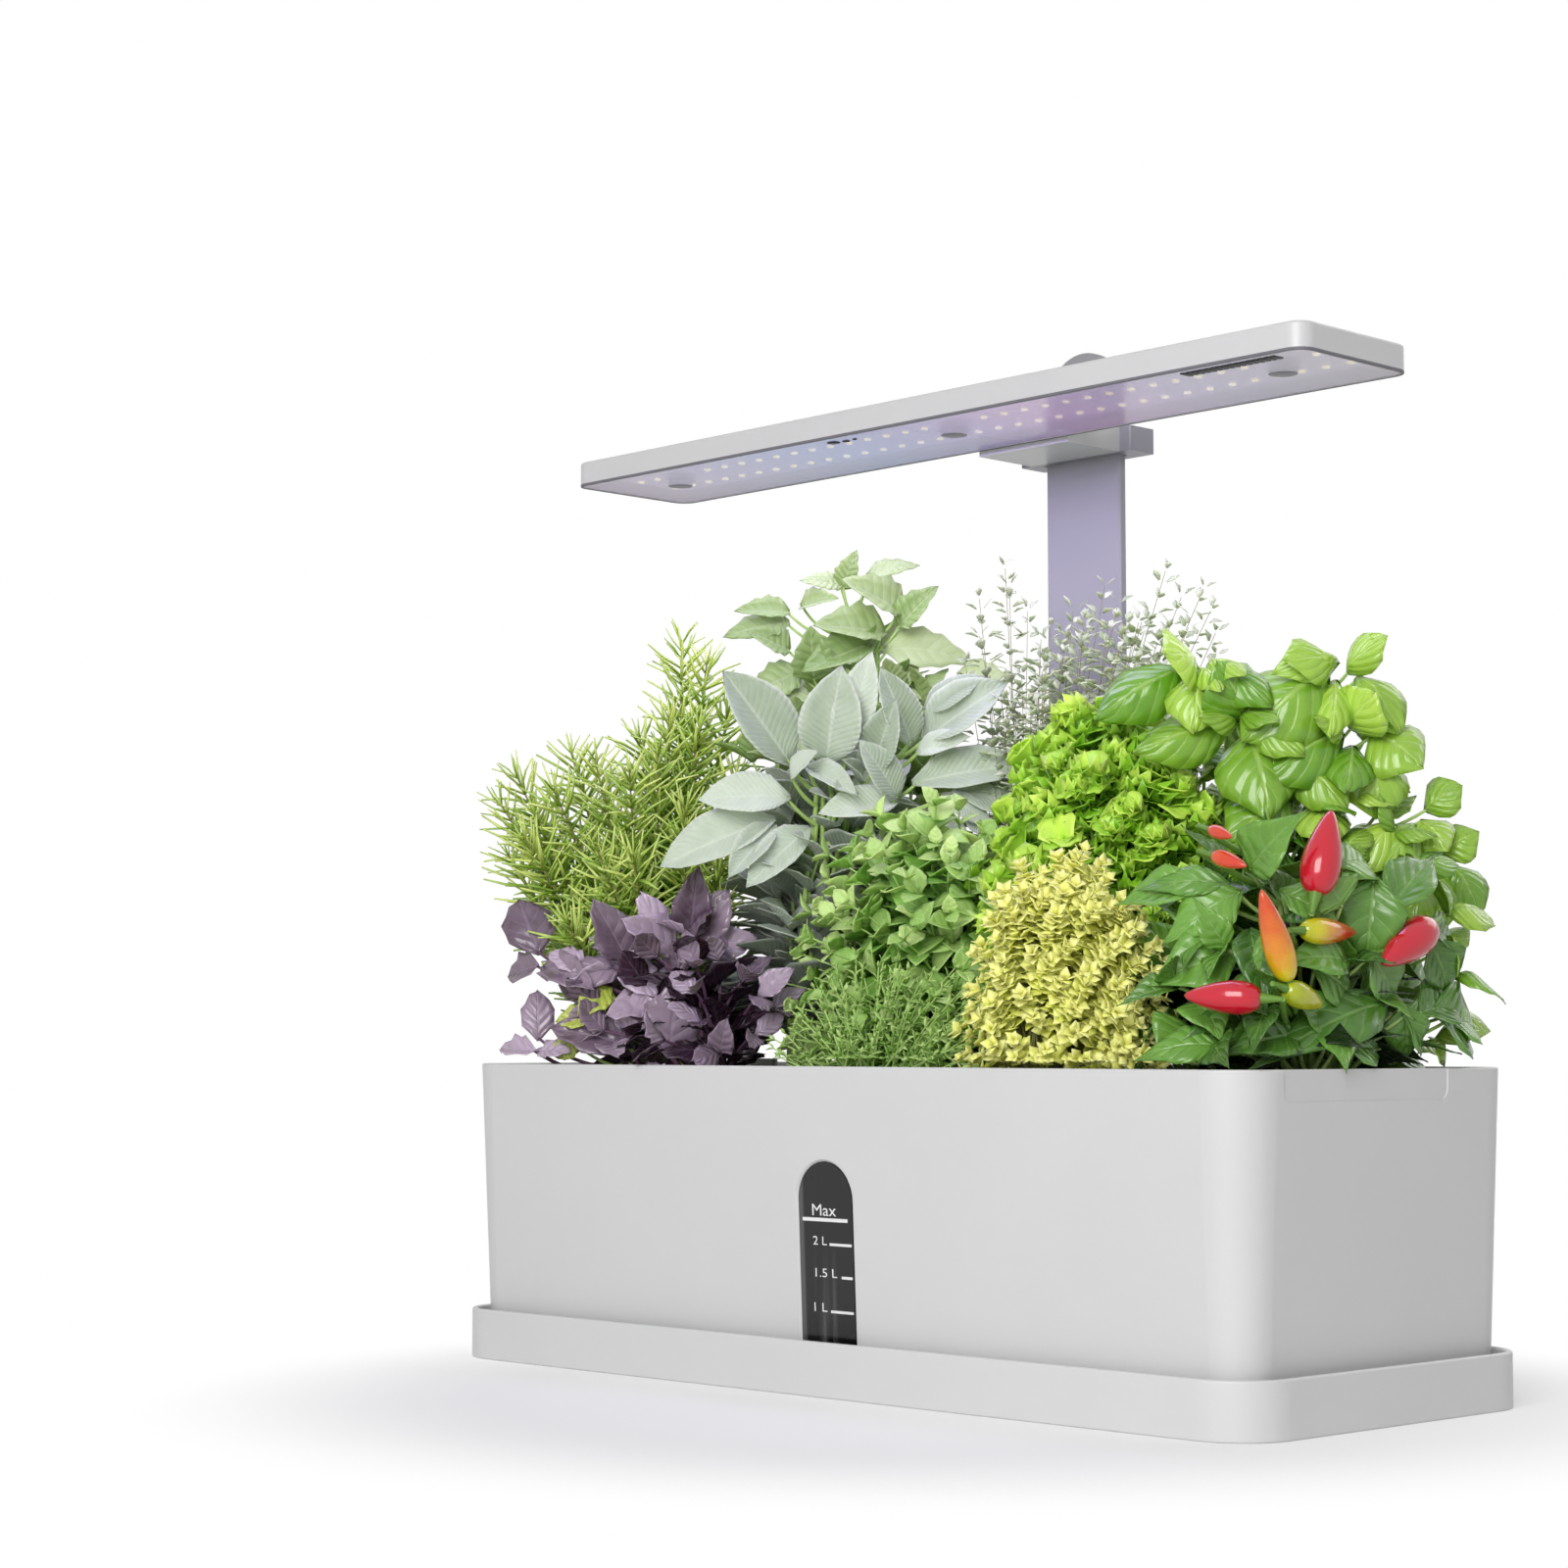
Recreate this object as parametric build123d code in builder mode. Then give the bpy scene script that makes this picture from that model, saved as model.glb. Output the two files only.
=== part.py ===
"""Countertop herb garden: drip tray, water tank, planted deck and a grow lamp that slides on a post.

Millimetres, +Z up. The origin is the middle of the tray's underside, +X runs along the tank's length
and -Y is the front, where the water window is.
"""

import os
from math import cos, radians, sin, tan

from build123d import *

os.makedirs("parts", exist_ok=True)

# Water tank, measured at its rim
tank_length = 374
tank_depth = 146
tank_height = 108.5
tank_corner = 17
tank_draft = 2.4
tank_wall = 3
tank_floor = 2.5
rim_wall = 1.8
rim_round = 0.7
grip_width = 86
grip_shift = -10
grip_height = 10
grip_depth = 0.5

# Drip tray
moat = 5.35
tray_wall = 2.2
tray_floor = 2
tray_height = 18.5
tray_round = 0.8

# Water window in the front wall
centre_line = 7
window_width = 26
window_bottom = 12
window_top = 78.5
window_flange = 4
window_pane = 2
window_recess = 0.5
window_edge = 0.8
window_fit = 0.2
seal_thickness = 1

# Planting deck
deck_recess = 6
deck_thickness = 3
deck_clearance = 0.4
collar_depth = 7
collar_wall = 1.6
row_share = 21 / 73

# Planting baskets and their sponge plugs
basket_gap = 6
basket_taper = 3.2
basket_depth = 46
basket_wall = 1.2
basket_flange = 2.4
flange_thickness = 1.5
basket_fit = 0.4
basket_slots = 6
slot_width = 5
slot_height = 24
drain_radius = 4
plug_height = 36
plug_fit = 0.3
stem_radius = 2.8
stem_fit = 0.1
stem_depth = 18

# Fill port and its cap, in the rear left corner of the deck
port_length = 26
port_depth = 14
port_corner = 3
port_fit = 0.3
port_inset = 40
cap_lip = 2
cap_thickness = 1.5
cap_plug = 4
cap_tab_length = 14
cap_tab_width = 2.4
cap_tab_height = 6

# Lamp post
post_width = 36
post_thickness = 3.2
post_top = 376
post_base = 40
post_fit = 0.15
post_edge = 0.6
socket_wall = 1.8
notch_clearance = 0.6

# Lamp bar
lamp_length = 356
lamp_depth = 59
lamp_height = 9.5
lamp_corner = 6.3
lamp_bottom = 337.3
lamp_middle = 2.3
lamp_wall = 1.3
lamp_round = 1.1
board_thickness = 1.6
board_gap = 1.5
board_fit = 0.5
chip_size = 1.8
chip_height = 0.8
chip_columns = 36
chip_rows = 3
cover_thickness = 1.6
cover_recess = 0.2
cover_fit = 0.4
screw_inset = 30
screw_head = 3.6
screw_head_height = 1.4
screw_shank = 1.5
well_radius = 4.8
well_wall = 1.2
boss_radius = 3.5

# Arm and sliding collar
arm_width = 43.5
arm_height = 9.2
arm_drop = 2
arm_wall = 1.6
arm_cover_thickness = 1.2
arm_cover_fit = 0.15
collar_width = 54
collar_front_wall = 3
collar_rear_wall = 5
collar_round = 1
pad_thickness = 1.2
pad_margin = 2
slide_fit = 0.1
side_fit = 0.4

# Button, control board and power inlet in the arm
button_radius = 5
button_rise = 1
button_fit = 0.15
button_rim = 1
button_rim_height = 0.8
button_travel = 0.8
switch_size = 6
controls_board = 1
controls_fit = 1
inlet_radius = 3.2
inlet_bore = 2.4
inlet_pin = 0.8
inlet_length = 9
inlet_lip = 0.6

# Pump in the tank
pump_length = 40
pump_depth = 28
pump_height = 30
pump_round = 3
pump_wall = 2.4
cup_radius = 5
cup_height = 4
rotor_radius = 6.5
rotor_length = 12
blade_count = 6
blade_reach = 9
blade_length = 5
blade_thickness = 1.4
chamber_gap = 1
end_gap = 0.3
shaft_radius = 1.2
shaft_fit = 0.05
pump_cover_thickness = 2.4
intake_slots = 5
intake_slot_width = 2
intake_slot_height = 14
filter_thickness = 8
filter_margin = 3
outlet_radius = 4.5
outlet_bore = 3
outlet_height = 8
riser_wall = 1
riser_fit = 0.1
riser_gap = 2

# Plant crowns
crown_gap = 1.5
crown_lift = 3
crown_corner = 0.8
post_room = 3
rosemary_rise = 178
mint_rise = 199
sage_rise = 153
tall_thyme_rise = 190
parsley_rise = 131
basil_rise = 145
chili_rise = 88
golden_rise = 75
thyme_rise = 40
oregano_rise = 94
purple_rise = 70
sprig_radius = 9
sprig_tip = 4
sprig_spread = 0.8
sprig_foot = 0.6
sprig_step = 0.12
pepper_count = 5
pepper_first = -135
pepper_step = 35
pepper_tilt = 50
pepper_swing = 12
pepper_spread = 0.35
pepper_climb = 0.15
pepper_radius = 7
pepper_tip = 1.5
pepper_length = 32

# Heights and plan sizes that follow from the sizes above
draft_rate = tan(radians(tank_draft))
tank_base = tray_floor
tank_top = tank_base + tank_height
foot_length = tank_length - 2 * tank_height * draft_rate
foot_depth = tank_depth - 2 * tank_height * draft_rate
foot_corner = tank_corner - tank_height * draft_rate
tray_length = foot_length + 2 * (moat + tray_wall)
tray_depth = foot_depth + 2 * (moat + tray_wall)
tray_corner = foot_corner + moat + tray_wall
tank_inside = tank_base + tank_floor
deck_top = tank_top - deck_recess
ledge = deck_top - deck_thickness
row_pitch = row_share * tank_depth
column_pitch = (tank_length / 2 - tank_depth / 2 + row_pitch) / 2
basket_radius = (row_pitch - basket_gap) / 2 - basket_flange
post_back = foot_depth / 2 + (post_base - tank_base) * draft_rate - socket_wall - post_fit
post_front = post_back - post_thickness
post_middle = (post_front + post_back) / 2
lamp_top = lamp_bottom + lamp_height
lamp_back = lamp_middle + lamp_depth / 2
screw_span = lamp_length / 2 - screw_inset
arm_bottom = lamp_bottom - arm_drop
arm_top = arm_bottom + arm_height
collar_front = post_front - slide_fit - pad_thickness - collar_front_wall
collar_back = post_back + slide_fit + pad_thickness + collar_rear_wall


def tank_section(height, inset):
    """Outline of the drafted tank at a height, drawn in by inset on every side."""
    rise = (height - tank_base) * draft_rate - inset
    with BuildSketch(Plane.XY.offset(height)) as section:
        RectangleRounded(foot_length + 2 * rise, foot_depth + 2 * rise, foot_corner + rise)
    return section.sketch


def finish(node, name):
    """Label a finished piece and write it."""
    node.part.label = name
    export_step(node.part, f"parts/{name}.step")


# Drip tray: a shallow open box that the tank stands in
with BuildPart() as tray:
    with BuildSketch():
        RectangleRounded(tray_length, tray_depth, tray_corner)
    extrude(amount=tray_height)
    with BuildSketch(Plane.XY.offset(tray_floor)):
        RectangleRounded(
            tray_length - 2 * tray_wall, tray_depth - 2 * tray_wall, tray_corner - tray_wall
        )
    extrude(amount=tray_height, mode=Mode.SUBTRACT)
    fillet(tray.edges().group_by(Axis.Z)[-1], tray_round)
    fillet(tray.edges().group_by(Axis.Z)[0], tray_round)
finish(tray, "drip_tray")

# Inside of the tank, left solid where the socket of the post grows from the rear wall
with BuildPart() as cavity:
    loft(
        sections=[tank_section(tank_inside, tank_wall), tank_section(tank_top, tank_wall)], ruled=True
    )
    with BuildSketch(Plane.XY.offset(post_base - tank_floor)):
        with Locations((centre_line, post_middle + tank_depth / 4)):
            Rectangle(
                post_width + 2 * (post_fit + socket_wall),
                post_thickness + 2 * (post_fit + socket_wall) + tank_depth / 2,
            )
    extrude(amount=ledge - post_base + tank_floor, mode=Mode.SUBTRACT)
    loft(sections=[tank_section(ledge, rim_wall), tank_section(tank_top, rim_wall)], ruled=True)

# Plane of the tapered front wall, with its height running up the wall
wall_plane = Plane(
    origin=(centre_line, -foot_depth / 2, tank_base),
    x_dir=(1, 0, 0),
    z_dir=(0, -cos(radians(tank_draft)), -sin(radians(tank_draft))),
)


def arch(offset, margin):
    """Arched window outline on the front wall, grown by margin all round."""
    half = window_width / 2
    foot = window_bottom - tank_base
    spring = window_top - tank_base - half
    with BuildSketch(wall_plane.offset(offset)) as outline:
        with Locations((0, (foot + spring - margin) / 2)):
            Rectangle(window_width + 2 * margin, spring - foot + margin)
        with Locations((0, spring)):
            Circle(half + margin)
    return outline.sketch


# Tank: tapered shell with a rim ledge, a window opening and a shallow grip at each end
with BuildPart() as tank:
    loft(sections=[tank_section(tank_base, 0), tank_section(tank_top, 0)], ruled=True)
    add(cavity.part, mode=Mode.SUBTRACT)
    with BuildSketch(Plane.XY.offset(post_base)):
        with Locations((centre_line, post_middle)):
            Rectangle(post_width + 2 * post_fit, post_thickness + 2 * post_fit)
    extrude(amount=tank_top, mode=Mode.SUBTRACT)
    extrude(arch(tank_wall, 0), amount=-3 * tank_wall, mode=Mode.SUBTRACT)
    extrude(arch(0, window_edge), amount=-window_edge, taper=45, mode=Mode.SUBTRACT)
    fillet(tank.faces().sort_by(Axis.Z)[-1].edges(), rim_round)
    for side in (-1, 1):
        end_plane = Plane(
            origin=(side * tank_length / 2, grip_shift, tank_top),
            x_dir=(0, 1, 0),
            z_dir=(side * cos(radians(tank_draft)), 0, -sin(radians(tank_draft))),
        )
        with BuildSketch(end_plane.offset(-grip_depth)):
            RectangleRounded(grip_width, 2 * grip_height, grip_height / 3)
        extrude(amount=tank_wall, mode=Mode.SUBTRACT)
finish(tank, "tank")

# Window seal and pane, clamped on the inside of the front wall
with BuildPart() as window_seal:
    extrude(arch(-tank_wall, window_flange), amount=-seal_thickness)
    extrude(arch(-tank_wall, 0), amount=-seal_thickness, mode=Mode.SUBTRACT)
finish(window_seal, "window_seal")

with BuildPart() as level_window:
    extrude(arch(-tank_wall - seal_thickness, window_flange), amount=-window_pane)
    extrude(
        arch(-tank_wall - seal_thickness, -window_fit), amount=seal_thickness + tank_wall - window_recess
    )
finish(level_window, "level_window")

# Plants by pod, as columns and rows of the grid counted from the middle of the deck
pods = {
    "rosemary": (-2, 0),
    "sage": (-1, 0),
    "oregano": (0, 0),
    "parsley": (1, 0),
    "chili": (2, 0),
    "purple_basil": (-1, -1),
    "thyme": (0, -1),
    "golden_thyme": (1, -1),
    "mint": (-1, 1),
    "tall_thyme": (0, 1),
    "basil": (1, 1),
}
pod_centres = {name: (column * column_pitch, row * row_pitch) for name, (column, row) in pods.items()}
hole_radius = basket_radius + basket_fit
port_centre = (-tank_length / 2 + port_inset, tank_depth / 2 - port_inset + port_depth)
riser_centre = (1.5 * column_pitch, row_pitch / 2)

# Planting deck: a plate on the tank's ledge with a collar round each pod hole
with BuildPart() as deck:
    extrude(tank_section(ledge, rim_wall + deck_clearance), amount=deck_thickness)
    with BuildSketch(Plane.XY.offset(ledge)):
        with Locations(*pod_centres.values()):
            Circle(hole_radius + collar_wall)
    extrude(amount=-collar_depth)
    with BuildSketch(Plane.XY.offset(deck_top)):
        with Locations(*pod_centres.values()):
            Circle(hole_radius)
        with Locations(port_centre):
            RectangleRounded(port_length, port_depth, port_corner)
        with Locations((centre_line, post_front - notch_clearance + tank_depth / 4)):
            Rectangle(post_width + 2 * notch_clearance, tank_depth / 2)
    extrude(amount=-deck_thickness - collar_depth, mode=Mode.SUBTRACT)
finish(deck, "planting_deck")

# Fill cap: a plug in the port with a lip on the deck and a finger tab
with BuildPart() as fill_cap:
    with BuildSketch(Plane.XY.offset(deck_top)):
        with Locations(port_centre):
            RectangleRounded(
                port_length + 2 * cap_lip, port_depth + 2 * cap_lip, port_corner + cap_lip
            )
    extrude(amount=cap_thickness)
    with BuildSketch(Plane.XY.offset(deck_top)):
        with Locations(port_centre):
            RectangleRounded(
                port_length - 2 * port_fit, port_depth - 2 * port_fit, port_corner - port_fit
            )
    extrude(amount=-cap_plug)
    with BuildSketch(Plane.XY.offset(deck_top + cap_thickness)):
        with Locations(port_centre):
            RectangleRounded(cap_tab_length, cap_tab_width, cap_tab_width / 3)
    extrude(amount=cap_tab_height)
finish(fill_cap, "fill_cap")

# Lamp post: a flat bar with a round top, standing in the socket of the rear wall
with BuildPart() as post:
    with BuildSketch(Plane(origin=(centre_line, post_back, 0), x_dir=(1, 0, 0), z_dir=(0, -1, 0))):
        shoulder = post_top - post_width / 2
        with Locations((0, (post_base + shoulder) / 2)):
            Rectangle(post_width, shoulder - post_base)
        with Locations((0, shoulder)):
            Circle(post_width / 2)
    extrude(amount=post_thickness)
    chamfer(post.faces().sort_by(Axis.Y)[0].edges(), post_edge)
finish(post, "post")

# Lamp bar: shell that opens downwards, with a boss for each screw
pocket_length = lamp_length - 2 * lamp_wall
pocket_depth = lamp_depth - 2 * lamp_wall
pocket_corner = lamp_corner - lamp_wall
ceiling = lamp_top - lamp_wall
board_top = ceiling - board_gap
board_bottom = board_top - board_thickness
cover_bottom = lamp_bottom + cover_recess
cover_top = cover_bottom + cover_thickness
screw_centres = [(share * screw_span, lamp_middle) for share in (-1, 0, 1)]
lamp_plane = Plane((0, lamp_middle, 0))

with BuildPart() as lamp_housing:
    with BuildSketch(lamp_plane.offset(lamp_bottom)):
        RectangleRounded(lamp_length, lamp_depth, lamp_corner)
    extrude(amount=lamp_height)
    fillet(lamp_housing.edges().group_by(Axis.Z)[-1], lamp_round)
    with BuildSketch(lamp_plane.offset(lamp_bottom)):
        RectangleRounded(pocket_length, pocket_depth, pocket_corner)
    extrude(amount=lamp_height - lamp_wall, mode=Mode.SUBTRACT)
    with BuildSketch(Plane.XY.offset(board_top)):
        with Locations(*screw_centres):
            Circle(boss_radius)
            Circle(screw_shank, mode=Mode.SUBTRACT)
    extrude(amount=board_gap)
finish(lamp_housing, "lamp_housing")

# Light board and its rows of diodes
with BuildPart() as led_board:
    with BuildSketch(lamp_plane.offset(board_bottom)):
        RectangleRounded(
            pocket_length - 2 * board_fit, pocket_depth - 2 * board_fit, pocket_corner - board_fit
        )
    extrude(amount=board_thickness)
    with BuildSketch(Plane.XY.offset(board_bottom)):
        with Locations(*screw_centres):
            Circle(screw_shank)
    extrude(amount=board_thickness, mode=Mode.SUBTRACT)
finish(led_board, "led_board")

chip_pitch_x = (pocket_length - 2 * board_fit) / chip_columns
chip_pitch_y = (pocket_depth - 2 * board_fit) / chip_rows
well_room = well_radius + well_wall + chip_size

with BuildPart() as led_chips:
    with BuildSketch(Plane.XY.offset(board_bottom)):
        for spot in GridLocations(chip_pitch_x, chip_pitch_y, chip_columns, chip_rows):
            place = spot.position + Vector(0, lamp_middle)
            if all(max(abs(place.X - x), abs(place.Y - y)) > well_room for x, y in screw_centres):
                with Locations(place):
                    Rectangle(chip_size, chip_size)
    extrude(amount=-chip_height)
finish(led_chips, "led_chips")

# Clear cover with a raised ring round each screw well, seated on the board
with BuildPart() as light_cover:
    with BuildSketch(lamp_plane.offset(cover_bottom)):
        RectangleRounded(
            pocket_length - 2 * cover_fit, pocket_depth - 2 * cover_fit, pocket_corner - cover_fit
        )
    extrude(amount=cover_thickness)
    with BuildSketch(Plane.XY.offset(cover_top)):
        with Locations(*screw_centres):
            Circle(well_radius + well_wall)
    extrude(amount=board_bottom - cover_top)
    with BuildSketch(Plane.XY.offset(cover_bottom)):
        with Locations(*screw_centres):
            Circle(well_radius)
    extrude(amount=board_bottom - cover_bottom, mode=Mode.SUBTRACT)
finish(light_cover, "light_cover")

with BuildPart() as lamp_screws:
    with BuildSketch(Plane.XY.offset(board_bottom)):
        with Locations(*screw_centres):
            Circle(screw_head)
    extrude(amount=-screw_head_height)
    with BuildSketch(Plane.XY.offset(board_bottom)):
        with Locations(*screw_centres):
            Circle(screw_shank)
    extrude(amount=board_thickness + board_gap)
finish(lamp_screws, "lamp_screws")

# Arm: a hollow slab from the lamp bar back to the collar, closed below by a cover
arm_length = collar_front - lamp_back
arm_middle = (collar_front + lamp_back) / 2
arm_plane = Plane((centre_line, arm_middle, 0))
inner_width = arm_width - 2 * arm_wall
inner_length = arm_length - 2 * arm_wall
arm_ceiling = arm_top - arm_wall
inlet_height = (arm_bottom + arm_cover_thickness + arm_ceiling) / 2
inlet_plane = Plane(
    origin=(centre_line - arm_width / 2, arm_middle, inlet_height), x_dir=(0, -1, 0), z_dir=(-1, 0, 0)
)

with BuildPart() as lamp_arm:
    with BuildSketch(arm_plane.offset(arm_bottom)):
        Rectangle(arm_width, arm_length)
    extrude(amount=arm_height)
    with BuildSketch(arm_plane.offset(arm_bottom)):
        Rectangle(inner_width, inner_length)
    extrude(amount=arm_height - arm_wall, mode=Mode.SUBTRACT)
    with BuildSketch(arm_plane.offset(arm_top)):
        Circle(button_radius + button_fit)
    extrude(amount=-arm_wall, mode=Mode.SUBTRACT)
    with BuildSketch(inlet_plane):
        Circle(inlet_radius)
    extrude(amount=-arm_wall, mode=Mode.SUBTRACT)
finish(lamp_arm, "lamp_arm")

with BuildPart() as arm_cover:
    with BuildSketch(arm_plane.offset(arm_bottom)):
        Rectangle(inner_width - 2 * arm_cover_fit, inner_length - 2 * arm_cover_fit)
    extrude(amount=arm_cover_thickness)
finish(arm_cover, "arm_cover")

# Power inlet through the left side of the arm
with BuildPart() as power_inlet:
    with BuildSketch(inlet_plane):
        Circle(inlet_radius + inlet_lip)
    extrude(amount=inlet_lip)
    with BuildSketch(inlet_plane):
        Circle(inlet_radius)
    extrude(amount=-inlet_length)
    with BuildSketch(inlet_plane.offset(inlet_lip)):
        Circle(inlet_bore)
    extrude(amount=-inlet_length, mode=Mode.SUBTRACT)
    with BuildSketch(inlet_plane.offset(-inlet_length)):
        Circle(inlet_pin)
    extrude(amount=inlet_length)
finish(power_inlet, "power_inlet")

# Button in the top of the arm, held by its rim under the arm's skin
button_bottom = arm_ceiling - button_rim_height
switch_top = button_bottom - button_travel - end_gap
controls_top = arm_bottom + arm_cover_thickness + controls_board

with BuildPart() as power_button:
    with BuildSketch(arm_plane.offset(button_bottom)):
        Circle(button_radius + button_rim)
    extrude(amount=button_rim_height)
    with BuildSketch(arm_plane.offset(arm_ceiling)):
        Circle(button_radius)
    extrude(amount=arm_wall + button_rise)
    fillet(power_button.edges().group_by(Axis.Z)[-1], button_rise / 2)
finish(power_button, "power_button")

# Control board on the arm's cover, with the switch under the button
with BuildPart() as control_board:
    with BuildSketch(arm_plane.offset(controls_top - controls_board)):
        with Locations((inlet_length / 2, 0)):
            Rectangle(inner_width - 2 * controls_fit - inlet_length, inner_length - 2 * controls_fit)
    extrude(amount=controls_board)
    with BuildSketch(arm_plane.offset(controls_top)):
        Rectangle(switch_size, switch_size)
    extrude(amount=switch_top - controls_top)
finish(control_board, "control_board")

# Collar that slides on the post, and the two pads that grip it
with BuildPart() as slide_collar:
    with BuildSketch(Plane((centre_line, (collar_front + collar_back) / 2, arm_bottom))):
        RectangleRounded(collar_width, collar_back - collar_front, collar_round)
    extrude(amount=arm_height)
    with BuildSketch(Plane((centre_line, post_middle, arm_bottom))):
        Rectangle(post_width + 2 * side_fit, post_thickness + 2 * (slide_fit + pad_thickness))
    extrude(amount=arm_height, mode=Mode.SUBTRACT)
finish(slide_collar, "slide_collar")

with BuildPart() as slide_pads:
    with BuildSketch(Plane((centre_line, post_middle, arm_bottom + pad_margin / 2))):
        with GridLocations(0, post_thickness + 2 * slide_fit + pad_thickness, 1, 2):
            Rectangle(post_width - 2 * pad_margin, pad_thickness)
    extrude(amount=arm_height - pad_margin)
finish(slide_pads, "slide_pads")

# Pump on four cups on the tank's floor, with its rotor along Y
pump_x, pump_y = riser_centre
pump_bottom = tank_inside + cup_height
pump_top = pump_bottom + pump_height
rotor_z = pump_bottom + pump_height / 2
pump_front = pump_y - pump_depth / 2
chamber_radius = blade_reach + chamber_gap
chamber_depth = rotor_length + blade_length + 2 * end_gap
rotor_plane = Plane(origin=(pump_x, pump_front, rotor_z), x_dir=(1, 0, 0), z_dir=(0, -1, 0))

with BuildPart() as pump_body:
    with BuildSketch(Plane((pump_x, pump_y, pump_bottom))):
        RectangleRounded(pump_length, pump_depth, pump_round)
    extrude(amount=pump_height)
    with BuildSketch(Plane((pump_x, pump_y, pump_top))):
        Circle(outlet_radius)
    extrude(amount=outlet_height)
    with BuildSketch(rotor_plane):
        Circle(chamber_radius)
    extrude(amount=-chamber_depth, mode=Mode.SUBTRACT)
    with BuildSketch(rotor_plane.offset(-chamber_depth)):
        Circle(shaft_radius)
    extrude(amount=-pump_wall, mode=Mode.SUBTRACT)
    with BuildSketch(Plane((pump_x, pump_y, rotor_z))):
        Circle(outlet_bore)
    extrude(amount=pump_height + outlet_height, mode=Mode.SUBTRACT)
finish(pump_body, "pump_body")

with BuildPart() as pump_cover:
    with BuildSketch(rotor_plane):
        RectangleRounded(pump_length, pump_height, pump_round)
    extrude(amount=pump_cover_thickness)
    with BuildSketch(rotor_plane):
        with GridLocations(2 * intake_slot_width, 0, intake_slots, 1) as slot_places:
            for place in slot_places:
                if abs(place.position.X) > shaft_radius + intake_slot_width / 2:
                    with Locations(place):
                        Rectangle(intake_slot_width, intake_slot_height)
    extrude(amount=pump_cover_thickness, mode=Mode.SUBTRACT)
    with BuildSketch(rotor_plane):
        Circle(shaft_radius)
    extrude(amount=pump_cover_thickness / 2, mode=Mode.SUBTRACT)
finish(pump_cover, "pump_cover")

with BuildPart() as pump_shaft:
    with BuildSketch(rotor_plane.offset(-chamber_depth - pump_wall)):
        Circle(shaft_radius)
    extrude(amount=chamber_depth + pump_wall + pump_cover_thickness / 2)
finish(pump_shaft, "pump_shaft")

# Impeller: magnet rotor with straight blades at its front, free on the shaft
with BuildPart() as impeller:
    with BuildSketch(rotor_plane.offset(-chamber_depth + end_gap)):
        Circle(rotor_radius)
    extrude(amount=rotor_length)
    with BuildSketch(rotor_plane.offset(-end_gap)):
        with PolarLocations(blade_reach / 2, blade_count):
            Rectangle(blade_reach, blade_thickness)
    extrude(amount=-blade_length)
    with BuildSketch(rotor_plane):
        Circle(shaft_radius + shaft_fit)
    extrude(amount=-chamber_depth, mode=Mode.SUBTRACT)
finish(impeller, "impeller")

with BuildPart() as intake_filter:
    with BuildSketch(rotor_plane.offset(pump_cover_thickness)):
        Rectangle(pump_length - 2 * filter_margin, pump_height - 2 * filter_margin)
    extrude(amount=filter_thickness)
finish(intake_filter, "intake_filter")

with BuildPart() as suction_cups:
    with BuildSketch(Plane((pump_x, pump_y, tank_inside))):
        with GridLocations(pump_length - 3 * cup_radius, pump_depth - 3 * cup_radius, 2, 2):
            Circle(cup_radius)
    extrude(amount=cup_height, taper=15)
finish(suction_cups, "suction_cups")

with BuildPart() as riser_tube:
    with BuildSketch(Plane((pump_x, pump_y, pump_top))):
        Circle(outlet_radius + riser_fit + riser_wall)
        Circle(outlet_radius + riser_fit, mode=Mode.SUBTRACT)
    extrude(amount=ledge - riser_gap - pump_top)
finish(riser_tube, "riser_tube")

# Plan cells of the crowns, between the lines of the pod grid and the edge of the tank
reach_x = tank_length / 2
reach_y = tank_depth / 2
outer_line = 1.5 * column_pitch
inner_line = 0.5 * column_pitch
row_line = 0.5 * row_pitch
cells = {
    "rosemary": (-reach_x, -outer_line, -reach_y, row_line),
    "sage": (-outer_line, -inner_line, -row_line, row_line),
    "oregano": (-inner_line, inner_line, -row_line, row_line),
    "parsley": (inner_line, outer_line, -row_line, row_line),
    "chili": (outer_line, reach_x, -reach_y, row_line),
    "purple_basil": (-outer_line, -inner_line, -reach_y, -row_line),
    "thyme": (-inner_line, inner_line, -reach_y, -row_line),
    "golden_thyme": (inner_line, outer_line, -reach_y, -row_line),
    "mint": (-outer_line, -inner_line, row_line, reach_y),
    "tall_thyme": (-inner_line, inner_line, row_line, post_front - post_room),
    "basil": (inner_line, reach_x, row_line, reach_y),
}
rises = {
    "rosemary": rosemary_rise,
    "sage": sage_rise,
    "oregano": oregano_rise,
    "parsley": parsley_rise,
    "chili": chili_rise,
    "purple_basil": purple_rise,
    "thyme": thyme_rise,
    "golden_thyme": golden_rise,
    "mint": mint_rise,
    "tall_thyme": tall_thyme_rise,
    "basil": basil_rise,
}

# Shares of the crown's height and width at which its outline is drawn
crown_outline = ((0, 0.4), (0.18, 0.82), (0.5, 0.98), (0.78, 0.86), (0.93, 0.58), (1, 0.25))
# Outlines of the plants that stand more open than a full crown
open_outlines = {
    "rosemary": ((0, 0.35), (0.18, 0.56), (0.5, 0.66), (0.78, 0.62), (0.93, 0.45), (1, 0.25)),
    "mint": ((0, 0.4), (0.18, 0.76), (0.45, 0.82), (0.7, 0.66), (0.88, 0.42), (1, 0.2)),
    "basil": ((0, 0.4), (0.18, 0.7), (0.45, 0.76), (0.7, 0.6), (0.88, 0.36), (1, 0.18)),
}
# Share of a sprigged plant's height that its leafy base fills
sprig_base = {"rosemary": 0.5, "tall_thyme": 0.7, "mint": 0.85}
crown_bottom = tank_top + crown_lift
basket_floor = deck_top - basket_depth
plug_bottom = basket_floor + basket_wall


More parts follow.
